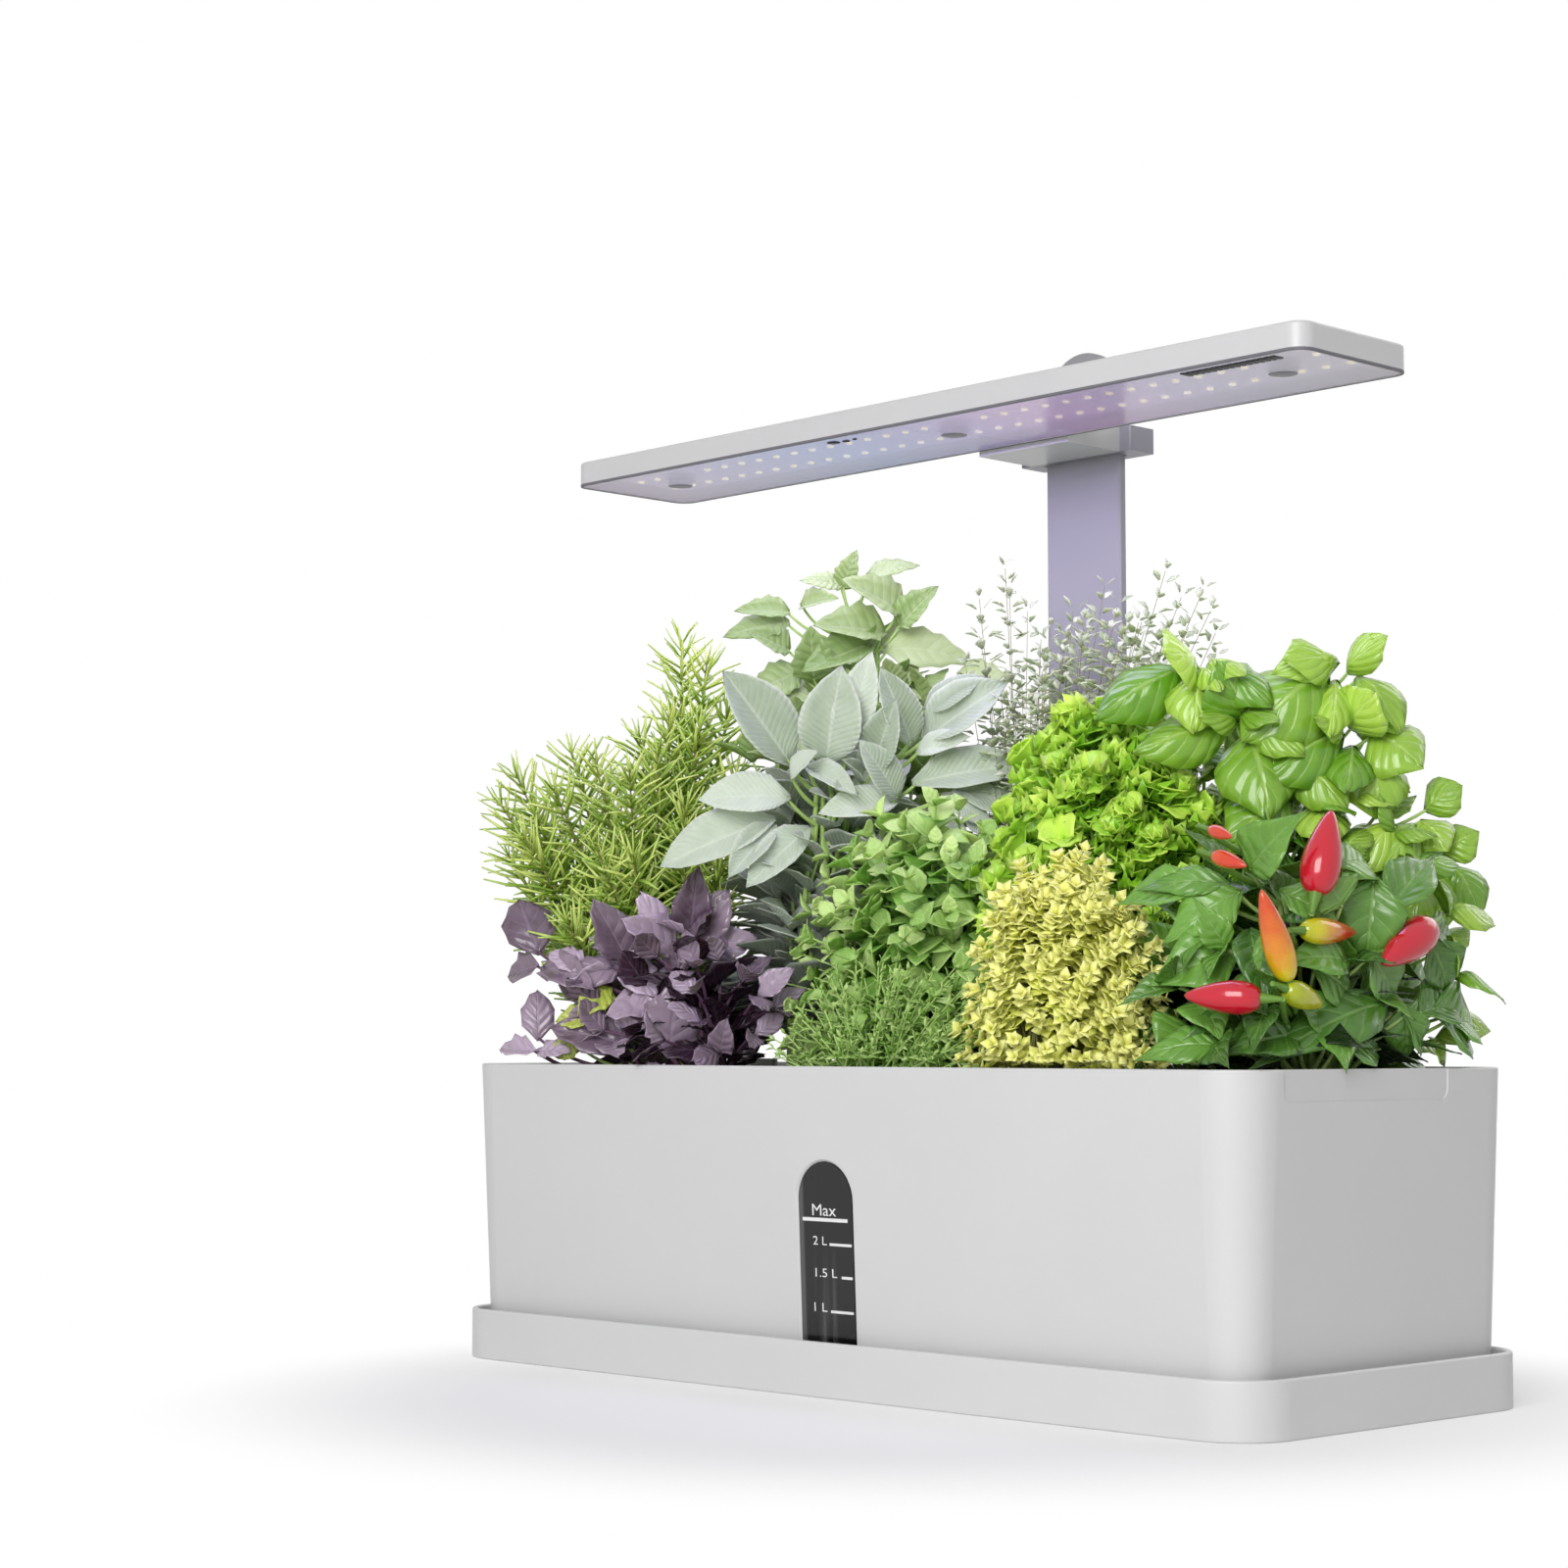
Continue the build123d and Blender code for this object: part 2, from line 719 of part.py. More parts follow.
def crown_section(cell, pod, height, share, lean):
    """Section of a crown: over its pod at the bottom, in the middle of its cell higher up."""
    x0, x1, y0, y1 = cell
    middle_x = pod[0] + lean * ((x0 + x1) / 2 - pod[0])
    middle_y = pod[1] + lean * ((y0 + y1) / 2 - pod[1])
    half_x = share * (min(middle_x - x0, x1 - middle_x) - crown_gap)
    half_y = share * (min(middle_y - y0, y1 - middle_y) - crown_gap)
    with BuildSketch(Plane((middle_x, middle_y, height))) as section:
        RectangleRounded(2 * half_x, 2 * half_y, crown_corner * min(half_x, half_y))
    return section.sketch


def disc(centre, radius, direction=(0, 0, 1)):
    """Round section across a stem, sprig or fruit."""
    with BuildSketch(Plane(origin=centre, z_dir=direction)) as section:
        Circle(radius)
    return section.sketch


for name, (pod_x, pod_y) in pod_centres.items():
    pod_plane = Plane((pod_x, pod_y, deck_top))
    pod_profile = Plane(origin=(pod_x, pod_y, deck_top), x_dir=(1, 0, 0), z_dir=(0, -1, 0))
    pod_axis = Axis((pod_x, pod_y, 0), (0, 0, 1))

    # Slotted basket hanging by its flange from the deck
    with BuildPart(pod_plane) as basket:
        with BuildSketch(pod_profile):
            with BuildLine():
                Polyline(
                    (basket_radius + basket_flange, 0),
                    (basket_radius + basket_flange, flange_thickness),
                    (basket_radius - basket_wall, flange_thickness),
                    (basket_radius - basket_taper - basket_wall, basket_wall - basket_depth),
                    (drain_radius, basket_wall - basket_depth),
                    (drain_radius, -basket_depth),
                    (basket_radius - basket_taper, -basket_depth),
                    (basket_radius, 0),
                    close=True,
                )
            make_face()
        revolve(axis=pod_axis)
        with Locations((0, 0, -basket_depth / 2)):
            with PolarLocations(basket_radius, basket_slots):
                Box(basket_radius, slot_width, slot_height, mode=Mode.SUBTRACT)
    finish(basket, f"basket_{name}")

    # Sponge plug that fills the basket, with a hole for the stem
    plug_foot = basket_radius - basket_taper - basket_wall - plug_fit
    plug_flare = basket_taper * plug_height / basket_depth
    with BuildPart() as plug:
        with BuildSketch(Plane((pod_x, pod_y, plug_bottom))):
            Circle(plug_foot)
        with BuildSketch(Plane((pod_x, pod_y, plug_bottom + plug_height))):
            Circle(plug_foot + plug_flare)
        loft()
        with BuildSketch(Plane((pod_x, pod_y, plug_bottom + plug_height))):
            Circle(stem_radius + stem_fit)
        extrude(amount=-stem_depth, mode=Mode.SUBTRACT)
    finish(plug, f"plug_{name}")

    # Plant: stem from the plug, leafy crown, and the sprigs or fruit that stand out of it
    cell = cells[name]
    rise = rises[name]
    crown_top = deck_top + rise * sprig_base.get(name, 1)
    crown_height = crown_top - crown_bottom
    stem_foot = plug_bottom + plug_height - stem_depth
    with BuildPart() as plant:
        with BuildSketch(Plane((pod_x, pod_y, stem_foot))):
            Circle(stem_radius)
        extrude(amount=crown_bottom + crown_height / 2 - stem_foot)
        loft(
            sections=[
                crown_section(cell, (pod_x, pod_y), crown_bottom + up * crown_height, share, min(1, 2 * up))
                for up, share in open_outlines.get(name, crown_outline)
            ]
        )
        middle_x = (cell[0] + cell[1]) / 2
        middle_y = (cell[2] + cell[3]) / 2
        half_x = (cell[1] - cell[0]) / 2 - crown_gap
        half_y = (cell[3] - cell[2]) / 2 - crown_gap
        crown_middle = crown_bottom + crown_height / 2
        if name in sprig_base:
            sprig_height = deck_top + rise - crown_middle
            for column in (-1, 0, 1):
                for row in (-1, 0, 1):
                    out_x = sprig_spread * column * (half_x - sprig_radius)
                    out_y = sprig_spread * row * (half_y - sprig_radius)
                    tip = crown_middle + sprig_height * (1 - sprig_step * (2 - column - row))
                    foot = (middle_x + sprig_foot * out_x, middle_y + sprig_foot * out_y, crown_middle)
                    tip_disc = disc((middle_x + out_x, middle_y + out_y, tip), sprig_tip)
                    loft(sections=[disc(foot, sprig_radius), tip_disc])
        if name == "chili":
            for spot in range(pepper_count):
                turn = radians(pepper_first + spot * pepper_step)
                tilt = radians(pepper_tilt + pepper_swing * (-1) ** spot)
                aim = Vector(cos(turn) * cos(tilt), sin(turn) * cos(tilt), sin(tilt))
                root = Vector(
                    middle_x + pepper_spread * half_x * cos(turn),
                    middle_y + pepper_spread * half_y * sin(turn),
                    crown_middle + pepper_climb * crown_height,
                )
                shoulder_disc = disc(root + aim * pepper_length / 2, pepper_radius, aim)
                tip_disc = disc(root + aim * pepper_length, pepper_tip, aim)
                loft(sections=[disc(root, pepper_radius, aim), shoulder_disc, tip_disc])
    finish(plant, f"plant_{name}")
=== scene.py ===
"""Looks of the countertop herb garden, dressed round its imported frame. Metres, +Z up, -Y the front."""

import random
from collections import namedtuple
from math import cos, pi, radians, sin, sqrt

import bmesh
import bpy
from mathutils import Matrix, Vector


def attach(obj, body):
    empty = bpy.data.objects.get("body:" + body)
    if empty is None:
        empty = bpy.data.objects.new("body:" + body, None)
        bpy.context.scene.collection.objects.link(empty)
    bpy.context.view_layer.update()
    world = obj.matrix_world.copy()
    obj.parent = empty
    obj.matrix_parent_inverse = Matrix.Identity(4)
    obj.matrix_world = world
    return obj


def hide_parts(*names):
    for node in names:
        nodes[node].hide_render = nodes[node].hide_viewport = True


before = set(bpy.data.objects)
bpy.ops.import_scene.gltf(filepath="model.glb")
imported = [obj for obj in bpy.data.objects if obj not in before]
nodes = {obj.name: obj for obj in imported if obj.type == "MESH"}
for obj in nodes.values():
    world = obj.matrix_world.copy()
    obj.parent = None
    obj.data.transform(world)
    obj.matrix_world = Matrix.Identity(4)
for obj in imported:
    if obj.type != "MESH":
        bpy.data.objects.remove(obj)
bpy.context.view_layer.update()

MM = 0.001
draw = random.Random(20)

# Places shared with the frame, in millimetres
PLUG_TOP = 95.7
PODS = {
    "rosemary": (-156, 0), "sage": (-78, 0), "oregano": (0, 0), "parsley": (78, 0), "chili": (156, 0),
    "purple_basil": (-78, -42), "thyme": (0, -42), "golden_thyme": (78, -42), "mint": (-78, 42),
    "tall_thyme": (0, 42), "basil": (78, 42),
}
LAMP_LENGTH, LAMP_DEPTH, LAMP_CORNER, LAMP_MIDDLE = 356, 59, 6.3, 2.3
LAMP_EDGE = 337.3
SCREWS = (-148, 0, 148)
# Underside of the lamp's cover, in metres
UNDER = 337.5 * MM
# Slope of the tank's front wall, and a point on it in the middle of the window
WALL_DRAFT = radians(2.4)
WALL_FOOT = Vector((7, -68.45, 2)) * MM
# Leaves clear the tank's rim and the deck and stop short of the back of the part's box, in metres
RIM_X, RIM_Y = 0.168, 0.056
TIP_OVER_RIM, TIP_OVER_DECK = 0.1125, 0.1065
BASE_OVER_RIM, BASE_OVER_DECK = 0.1135, 0.1075
BACK_LIMIT = 0.081
LEAF_SAG = 0.38
# Turn from one place to the next round a crown, in radians, so that no two lie in line
GOLDEN_TURN = 2.39996
# Camera: place in metres, turn, tilt, and lens on a sensor of that width in millimetres
EYE = Vector((0.7809, -0.8324, 0.1197))
EYE_TURN = radians(46.18)
EYE_TILT = radians(4.57)
LENS, SENSOR = 73.26, 36
UP = Vector((0, 0, 1))
LOOK = Vector((-sin(EYE_TURN) * cos(EYE_TILT), cos(EYE_TURN) * cos(EYE_TILT), sin(EYE_TILT)))


def linear(colour):
    """An sRGB hex colour as linear RGBA."""
    shares = [int(colour[k:k + 2], 16) / 255 for k in (1, 3, 5)]
    return tuple(s / 12.92 if s <= 0.04045 else ((s + 0.055) / 1.055) ** 2.4 for s in shares) + (1.0,)


# Sockets by number: a colour Mix has its share at 0, colours at 6 and 7 and result at 2, and a Map Range has its
# span at 1 and 2 and what that becomes at 3 and 4
def add(tree, kind, inputs=None, **settings):
    """Add a node with its settings, its values and the sockets that feed it."""
    made = tree.nodes.new(kind)
    for key, value in settings.items():
        setattr(made, key, value)
    for key, value in (inputs or {}).items():
        if isinstance(value, bpy.types.NodeSocket):
            tree.links.new(value, made.inputs[key])
        else:
            made.inputs[key].default_value = value
    return made


def skin(name, **values):
    """A material with the plain values of its shader set."""
    material = bpy.data.materials.new(name)
    material.use_nodes = True
    shader = material.node_tree.nodes["Principled BSDF"]
    for key, value in values.items():
        shader.inputs[key.replace("_", " ")].default_value = value
    return material, material.node_tree, shader


def moulded(name, pale, deep, cloud_mm, grain_mm, grain_depth, rough, **values):
    """A moulded or cast surface: faint clouds of tone, a fine grain, and gloss that varies with it."""
    material, tree, shader = skin(name, **values)
    place = add(tree, "ShaderNodeTexCoord").outputs["Object"]
    cloud = add(tree, "ShaderNodeTexNoise", {"Vector": place, "Scale": 1 / (cloud_mm * MM), "Detail": 3.0})
    tone = add(tree, "ShaderNodeMix", {0: cloud.outputs["Fac"], 6: linear(deep), 7: linear(pale)},
               data_type="RGBA")
    grain = add(tree, "ShaderNodeTexNoise", {"Vector": place, "Scale": 1 / (grain_mm * MM), "Detail": 2.0})
    gloss = add(tree, "ShaderNodeMapRange", {"Value": grain.outputs["Fac"], 3: rough - 0.06, 4: rough + 0.06})
    bump = add(tree, "ShaderNodeBump", {"Height": grain.outputs["Fac"], "Strength": 0.35,
                                        "Distance": grain_depth * MM})
    tree.links.new(tone.outputs[2], shader.inputs["Base Color"])
    tree.links.new(gloss.outputs["Result"], shader.inputs["Roughness"])
    tree.links.new(bump.outputs["Normal"], shader.inputs["Normal"])
    return material


def leaf_skin(name, dark, pale, vein, ribs, slant, relief, rough, vein_share=0.5, rim=0.0, **values):
    """A leaf: midrib, side veins and a paler rim, which is a painted rim highlight, from its own UV, and a tone
    of its own, with painted shade where the tone is below zero.
    """
    material, tree, shader = skin(name, Subsurface_Weight=0.2, Subsurface_Radius=(1.0, 1.0, 0.5),
                                  Subsurface_Scale=1.5 * MM, **values)
    parts = add(tree, "ShaderNodeSeparateXYZ", {0: add(tree, "ShaderNodeUVMap", uv_map="UVMap").outputs[0]})
    off = add(tree, "ShaderNodeMath", {0: parts.outputs[0], 1: 0.5}, operation="SUBTRACT")
    edge = add(tree, "ShaderNodeMath", {0: off.outputs[0]}, operation="ABSOLUTE")
    midrib = add(tree, "ShaderNodeMapRange", {"Value": edge.outputs[0], 1: 0.012, 2: 0.045, 3: 1.0, 4: 0.0})
    climb = add(tree, "ShaderNodeMath", {0: parts.outputs[1], 1: ribs * 2 * pi}, operation="MULTIPLY")
    lean = add(tree, "ShaderNodeMath", {0: edge.outputs[0], 1: slant * 2 * pi}, operation="MULTIPLY")
    phase = add(tree, "ShaderNodeMath", {0: climb.outputs[0], 1: lean.outputs[0]}, operation="SUBTRACT")
    wave = add(tree, "ShaderNodeMath", {0: phase.outputs[0]}, operation="SINE")
    side = add(tree, "ShaderNodeMapRange", {"Value": wave.outputs[0], 1: 0.78, 2: 1.0, 3: 0.0, 4: 0.4})
    veins = add(tree, "ShaderNodeMath", {0: midrib.outputs[0], 1: side.outputs[0]}, operation="MAXIMUM")
    share = add(tree, "ShaderNodeMath", {0: veins.outputs[0], 1: vein_share}, operation="MULTIPLY")
    # Painted rim highlight: the edge of the leaf turns towards the vein colour
    painted_rim_highlight = add(tree, "ShaderNodeMapRange", {"Value": edge.outputs[0], 1: 0.43, 2: 0.5, 3: 0.0, 4: rim})
    share = add(tree, "ShaderNodeMath", {0: share.outputs[0], 1: painted_rim_highlight.outputs[0]}, operation="MAXIMUM")
    place = add(tree, "ShaderNodeTexCoord").outputs["Object"]
    mottle = add(tree, "ShaderNodeTexNoise", {"Vector": place, "Scale": 1 / (7 * MM), "Detail": 4.0})
    tint = add(tree, "ShaderNodeAttribute", attribute_name="tint")
    blotch = add(tree, "ShaderNodeMapRange", {"Value": mottle.outputs["Fac"], 3: -0.22, 4: 0.22})
    level = add(tree, "ShaderNodeMath", {0: tint.outputs["Fac"], 1: blotch.outputs[0]}, operation="ADD",
                use_clamp=True)
    tone = add(tree, "ShaderNodeMix", {0: level.outputs[0], 6: linear(dark), 7: linear(pale)},
               data_type="RGBA")
    veined = add(tree, "ShaderNodeMix", {0: share.outputs[0], 6: tone.outputs[2], 7: linear(vein)},
                 data_type="RGBA")
    # Painted shade: a tone below zero mixes the colour towards a deep shade of its dark colour
    depth = add(tree, "ShaderNodeMath", {0: tint.outputs["Fac"], 1: -0.8}, operation="MULTIPLY",
                use_clamp=True)
    deep = tuple(0.12 * part for part in linear(dark)[:3]) + (1.0,)
    leaf_colour_with_painted_shade = add(tree, "ShaderNodeMix", {0: depth.outputs[0], 6: veined.outputs[2], 7: deep},
                data_type="RGBA")
    quilt = add(tree, "ShaderNodeMath", {0: wave.outputs[0], 1: -0.5}, operation="MULTIPLY")
    height = add(tree, "ShaderNodeMath", {0: quilt.outputs[0], 1: veins.outputs[0]}, operation="SUBTRACT")
    bump = add(tree, "ShaderNodeBump", {"Height": height.outputs[0], "Strength": 0.6,
                                        "Distance": relief * MM})
    gloss = add(tree, "ShaderNodeMapRange",
                {"Value": mottle.outputs["Fac"], 3: rough - 0.08, 4: rough + 0.08})
    tree.links.new(leaf_colour_with_painted_shade.outputs[2], shader.inputs["Base Color"])
    tree.links.new(gloss.outputs[0], shader.inputs["Roughness"])
    tree.links.new(bump.outputs["Normal"], shader.inputs["Normal"])
    return material


# Moulded ABS with a satin skin: even grey, a soft sheen and a very fine spark grain
tank_abs = moulded("moulded_abs_grey", "#D6D6D6", "#D0D0D0", 60, 0.9, 0.03, 0.42, IOR=1.54)
tray_abs = moulded("moulded_abs_tray", "#D8D8D8", "#D1D1D1", 60, 0.9, 0.03, 0.42, IOR=1.54)
lamp_abs = moulded("moulded_abs_lamp", "#CFCECF", "#C8C7C9", 50, 0.8, 0.03, 0.38, IOR=1.54)
deck_abs = moulded("moulded_abs_deck", "#8F8F8F", "#858585", 50, 0.9, 0.03, 0.5, IOR=1.54)
collar_abs = moulded("collar_abs", "#94919E", "#8A8794", 30, 0.8, 0.03, 0.42, IOR=1.54)
plug_abs = moulded("moulded_abs_plug", "#6E6C7A", "#615F6C", 15, 0.8, 0.03, 0.45, IOR=1.54)
# Polypropylene of the baskets and the pump: dull black with a coarse mould texture
black_pp = moulded("black_polypropylene", "#1E1E20", "#161618", 20, 0.7, 0.05, 0.5, IOR=1.49)
pump_pp = moulded("pump_polypropylene", "#2A2B2E", "#202124", 20, 0.7, 0.05, 0.45, IOR=1.49)
# Powder-coated steel of the post: fine orange peel, even satin grey
coated_steel = moulded("powder_coated_steel", "#9B9A9F", "#939297", 40, 0.6, 0.04, 0.45, IOR=1.5)
# Silicone of the seal and cups: soft dull black
silicone = moulded("silicone_black", "#2B2B2B", "#232323", 15, 0.5, 0.03, 0.65, IOR=1.41)
# Painted shadow of the gap round the lower edge of the lamp's shell, as a soft dull grey
seam_painted_shadow = moulded("seam_painted_shadow", "#737279", "#69686F", 15, 0.5, 0.03, 0.6, IOR=1.5)
# Zinc-plated steel of the pump's shaft: grey metal with fine drawn marks
zinc = moulded("zinc_plated_steel", "#A5A7AA", "#8F9195", 3, 0.25, 0.02, 0.35, Metallic=1.0)
# Blackened steel of the screws in the lamp: dark dull metal
black_steel = moulded("blackened_steel", "#2E2C36", "#201F27", 3, 0.25, 0.02, 0.45, Metallic=1.0)
# Open-cell sponge of the plugs and filter: brown, rough and full of holes
sponge = moulded("open_cell_sponge", "#4A3524", "#2A1D13", 3, 1.2, 1.2, 0.9, IOR=1.4)
# Felt of the slide pads: dark matted fibres
felt = moulded("wool_felt", "#3A3A3C", "#2B2B2D", 2, 0.4, 0.3, 0.95, IOR=1.45)
# Solder mask of the control board: glossy green lacquer over glass fibre
green_mask = moulded("solder_mask_green", "#1F5A36", "#184A2C", 8, 0.5, 0.02, 0.3, IOR=1.55)


def set_stops(elements, stops):
    """Give a colour ramp its stops, the first of them at its start."""
    elements[1].position = stops[-1][0]
    for element, stop in ((elements[0], stops[0]), (elements[1], stops[-1])):
        element.color = linear(stop[1])
    for position, colour in stops[1:-1]:
        elements.new(position).color = linear(colour)


def lit_sheet(name, glow, **values):
    """A pale sheet with painted light: it glows, and its colour is banded in lilac, blue and pink, as the diodes
    would light it.
    """
    material, tree, shader = skin(name, Emission_Strength=glow, **values)
    place = add(tree, "ShaderNodeTexCoord").outputs["Object"]
    parts = add(tree, "ShaderNodeSeparateXYZ", {0: place})
    end = LAMP_LENGTH / 2 * MM
    along = add(tree, "ShaderNodeMapRange", {"Value": parts.outputs[0], 1: -end, 2: end})
    ramp = add(tree, "ShaderNodeValToRGB", {"Fac": along.outputs[0]})
    # Painted light: these bands of colour along the lamp stand in for the diodes' light on the sheet
    set_stops(ramp.color_ramp.elements, (
        (0.0, "#CDC2D6"), (0.16, "#C6C2DE"), (0.34, "#B6C0E4"), (0.5, "#C3B8DE"), (0.62, "#D3B9DE"),
        (0.8, "#C8C2DA"), (1.0, "#C8C3CE")))
    tree.links.new(ramp.outputs[0], shader.inputs["Base Color"])
    tree.links.new(ramp.outputs[0], shader.inputs["Emission Color"])
    return material


def phosphor():
    """Phosphor of the diodes: each a warm yellow square that glows, with a tone of its own."""
    material, tree, shader = skin("led_phosphor", Roughness=0.3, IOR=1.5, Emission_Strength=1.4)
    place = add(tree, "ShaderNodeTexCoord").outputs["Object"]
    pitch = (9.77 * MM, 18 * MM, 1.0)
    chip = add(tree, "ShaderNodeVectorMath", {0: place, 1: pitch}, operation="SNAP")
    fleck = add(tree, "ShaderNodeTexWhiteNoise", {"Vector": chip.outputs[0]})
    tone = add(tree, "ShaderNodeMix", {0: fleck.outputs["Value"], 6: linear("#EFE6A0"), 7: linear("#FBF6CE")},
               data_type="RGBA")
    tree.links.new(tone.outputs[2], shader.inputs["Base Color"])
    tree.links.new(tone.outputs[2], shader.inputs["Emission Color"])
    return material


def smoked_pane():
    """Smoked acrylic of the window: near black and glossy, with painted reflection in it, a paler band at its
    left edge and paler streaks low down.
    """
    material, tree, shader = skin("smoked_acrylic", Alpha=0.97, IOR=1.49)
    place = add(tree, "ShaderNodeTexCoord").outputs["Object"]
    parts = add(tree, "ShaderNodeSeparateXYZ", {0: place})
    # Painted reflection: a paler band at the left edge of the pane
    edge = add(tree, "ShaderNodeMapRange",
               {"Value": parts.outputs[0], 1: -4.2 * MM, 2: -3.0 * MM, 3: 0.55, 4: 0.0})
    # Painted reflection: faint paler upright streaks low down on the pane
    drawn = add(tree, "ShaderNodeMapping", {"Vector": place, "Scale": (1 / (3.2 * MM), 1, 1 / (70 * MM))})
    flow = add(tree, "ShaderNodeTexNoise", {"Vector": drawn.outputs[0], "Scale": 1.0, "Detail": 2.0})
    streak = add(tree, "ShaderNodeMapRange", {"Value": flow.outputs["Fac"], 1: 0.5, 2: 0.75, 3: 0.0, 4: 0.5})
    low = add(tree, "ShaderNodeMapRange",
              {"Value": parts.outputs[2], 1: 20 * MM, 2: 52 * MM, 3: 1.0, 4: 0.0})
    streak = add(tree, "ShaderNodeMath", {0: streak.outputs[0], 1: low.outputs[0]}, operation="MULTIPLY")
    painted_reflection = add(tree, "ShaderNodeMath", {0: streak.outputs[0], 1: edge.outputs[0]}, operation="MAXIMUM")
    tone = add(tree, "ShaderNodeMix", {0: painted_reflection.outputs[0], 6: linear("#08080A"), 7: linear("#6A6A6C")},
               data_type="RGBA")
    gloss = add(tree, "ShaderNodeMapRange", {"Value": flow.outputs["Fac"], 3: 0.08, 4: 0.16})
    tree.links.new(tone.outputs[2], shader.inputs["Base Color"])
    tree.links.new(gloss.outputs[0], shader.inputs["Roughness"])
    return material


# White solder mask behind the diodes, and the clear polycarbonate under them that softens their light, both with
# painted light of the diodes: a glow and bands of colour
white_mask = lit_sheet("solder_mask_white", 0.4, Roughness=0.45, IOR=1.55)
clear_cover = lit_sheet("clear_polycarbonate", 0.08, Roughness=0.2, IOR=1.58, Alpha=0.55)
# Screen-printed ink of the water scale: flat white
white_ink = moulded("printed_white_ink", "#F2F2F2", "#E4E4E4", 4, 0.4, 0.02, 0.6, IOR=1.5)

dressed = {
    "drip_tray": tray_abs, "tank": tank_abs, "window_seal": silicone, "level_window": smoked_pane(),
    "planting_deck": deck_abs, "fill_cap": deck_abs, "post": coated_steel, "lamp_housing": lamp_abs,
    "led_board": white_mask, "led_chips": phosphor(), "light_cover": clear_cover, "lamp_screws": black_steel,
    "lamp_arm": lamp_abs, "arm_cover": lamp_abs, "power_inlet": black_pp, "power_button": black_pp,
    "control_board": green_mask, "slide_collar": collar_abs, "slide_pads": felt, "pump_body": pump_pp,
    "pump_cover": pump_pp, "pump_shaft": zinc, "impeller": black_pp, "intake_filter": sponge,
    "suction_cups": silicone, "riser_tube": pump_pp,
}
for pod in PODS:
    dressed[f"basket_{pod}"] = black_pp
    dressed[f"plug_{pod}"] = sponge
for node, material in dressed.items():
    nodes[node].data.materials.clear()
    nodes[node].data.materials.append(material)


def finish_piece(name, bm, materials, body, slot, *stands_for):
    """Turn a bmesh into a smooth piece that rides on a body."""
    mesh = bpy.data.meshes.new(name)
    bm.to_mesh(mesh)
    bm.free()
    for material in materials:
        mesh.materials.append(material)
    mesh.shade_smooth()
    piece = bpy.data.objects.new(name, mesh)
    bpy.context.scene.collection.objects.link(piece)
    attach(piece, body)
    if stands_for:
        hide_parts(*stands_for)
    return piece


# Water scale: printed lines and figures on the window pane, which lies a little back from the wall
PRINT_LIFT = -0.5 * MM + 0.06 * MM
wall = Matrix.Translation(WALL_FOOT) @ Matrix.Rotation(pi / 2 + WALL_DRAFT, 4, "X")
# Height, left end, right end and thickness of each line
scale_lines = (
    (58.8, -4.0, 17.6, 1.2), (50.6, 8.7, 19.2, 0.9), (39.7, 14.0, 19.2, 0.9), (28.1, 8.4, 19.2, 0.9),
)
# Height of the foot, left end, width and height of each word
scale_words = (
    ("Max", 60.1, 0.8, 11.4, 3.9), ("2 L", 50.3, 0.8, 6.6, 2.9), ("1.5 L", 39.5, 1.5, 10.4, 2.9),
    ("1 L", 27.9, 0.5, 6.2, 2.9),
)


def on_wall(x, z):
    """A place on the window pane from its X and its height, in millimetres."""
    return Vector((x * MM - WALL_FOOT.x, (z * MM - WALL_FOOT.z) / cos(WALL_DRAFT), PRINT_LIFT))


scale = bmesh.new()
for height, left, right, thick in scale_lines:
    made = bmesh.ops.create_grid(scale, x_segments=6, y_segments=1, size=0.5)["verts"]
    bmesh.ops.scale(scale, vec=((right - left) * MM, thick * MM, 1), verts=made)
    bmesh.ops.translate(scale, vec=on_wall((left + right) / 2, height), verts=made)
for word, height, left, width, tall in scale_words:
    letters = bpy.data.curves.new("letters", "FONT")
    letters.body = word
    letters.resolution_u = 3
    holder = bpy.data.objects.new("letters", letters)
    printed = bpy.data.meshes.new_from_object(holder)
    xs = [v.co.x for v in printed.vertices]
    ys = [v.co.y for v in printed.vertices]
    fit = Matrix.Diagonal((width * MM / (max(xs) - min(xs)), tall * MM / (max(ys) - min(ys)), 1, 1))
    to_corner = Matrix.Translation((-min(xs), -min(ys), 0))
    printed.transform(Matrix.Translation(on_wall(left, height)) @ fit @ to_corner)
    scale.from_mesh(printed)
    bpy.data.objects.remove(holder)
    bpy.data.meshes.remove(printed)
bmesh.ops.transform(scale, matrix=wall, verts=scale.verts)
finish_piece("water_scale", scale, [white_ink], "tank", "smoked_clear")


def add_block(bm, x, y, long, deep, high):
    """A small block that stands out of the lamp's cover."""
    made = bmesh.ops.create_cube(bm, size=1)["verts"]
    bmesh.ops.scale(bm, vec=(long * MM, deep * MM, high * MM), verts=made)
    bmesh.ops.translate(bm, vec=(x * MM, y * MM, UNDER - 0.1 * MM), verts=made)


def ease_edges(bm, offset, segments=2):
    """Take the sharpness off every edge."""
    bmesh.ops.bevel(bm, geom=bm.edges[:], offset=offset * MM, affect="EDGES", segments=segments, profile=0.5,
                    material=-1)


# Vent of slats near one end of the lamp's underside
SLATS, FIRST_SLAT, SLAT_STEP = 16, 126, 2.45
vent = bmesh.new()
for slat in range(SLATS):
    add_block(vent, FIRST_SLAT + slat * SLAT_STEP, -20.5, 1.9, 5, 0.5)
ease_edges(vent, 0.15)
finish_piece("lamp_vent", vent, [black_pp], "lamp", "dark_plastic")

# Sensor near the middle: a large window and two smaller ones
sensor = bmesh.new()
for x, y, size in ((-40, -19.5, 4), (-34.5, -18.5, 2.4), (-29.5, -19, 1.4)):
    add_block(sensor, x, y, size, size * 0.8, 0.6)
ease_edges(sensor, 0.2)
finish_piece("lamp_sensor", sensor, [black_pp], "lamp", "dark_plastic")

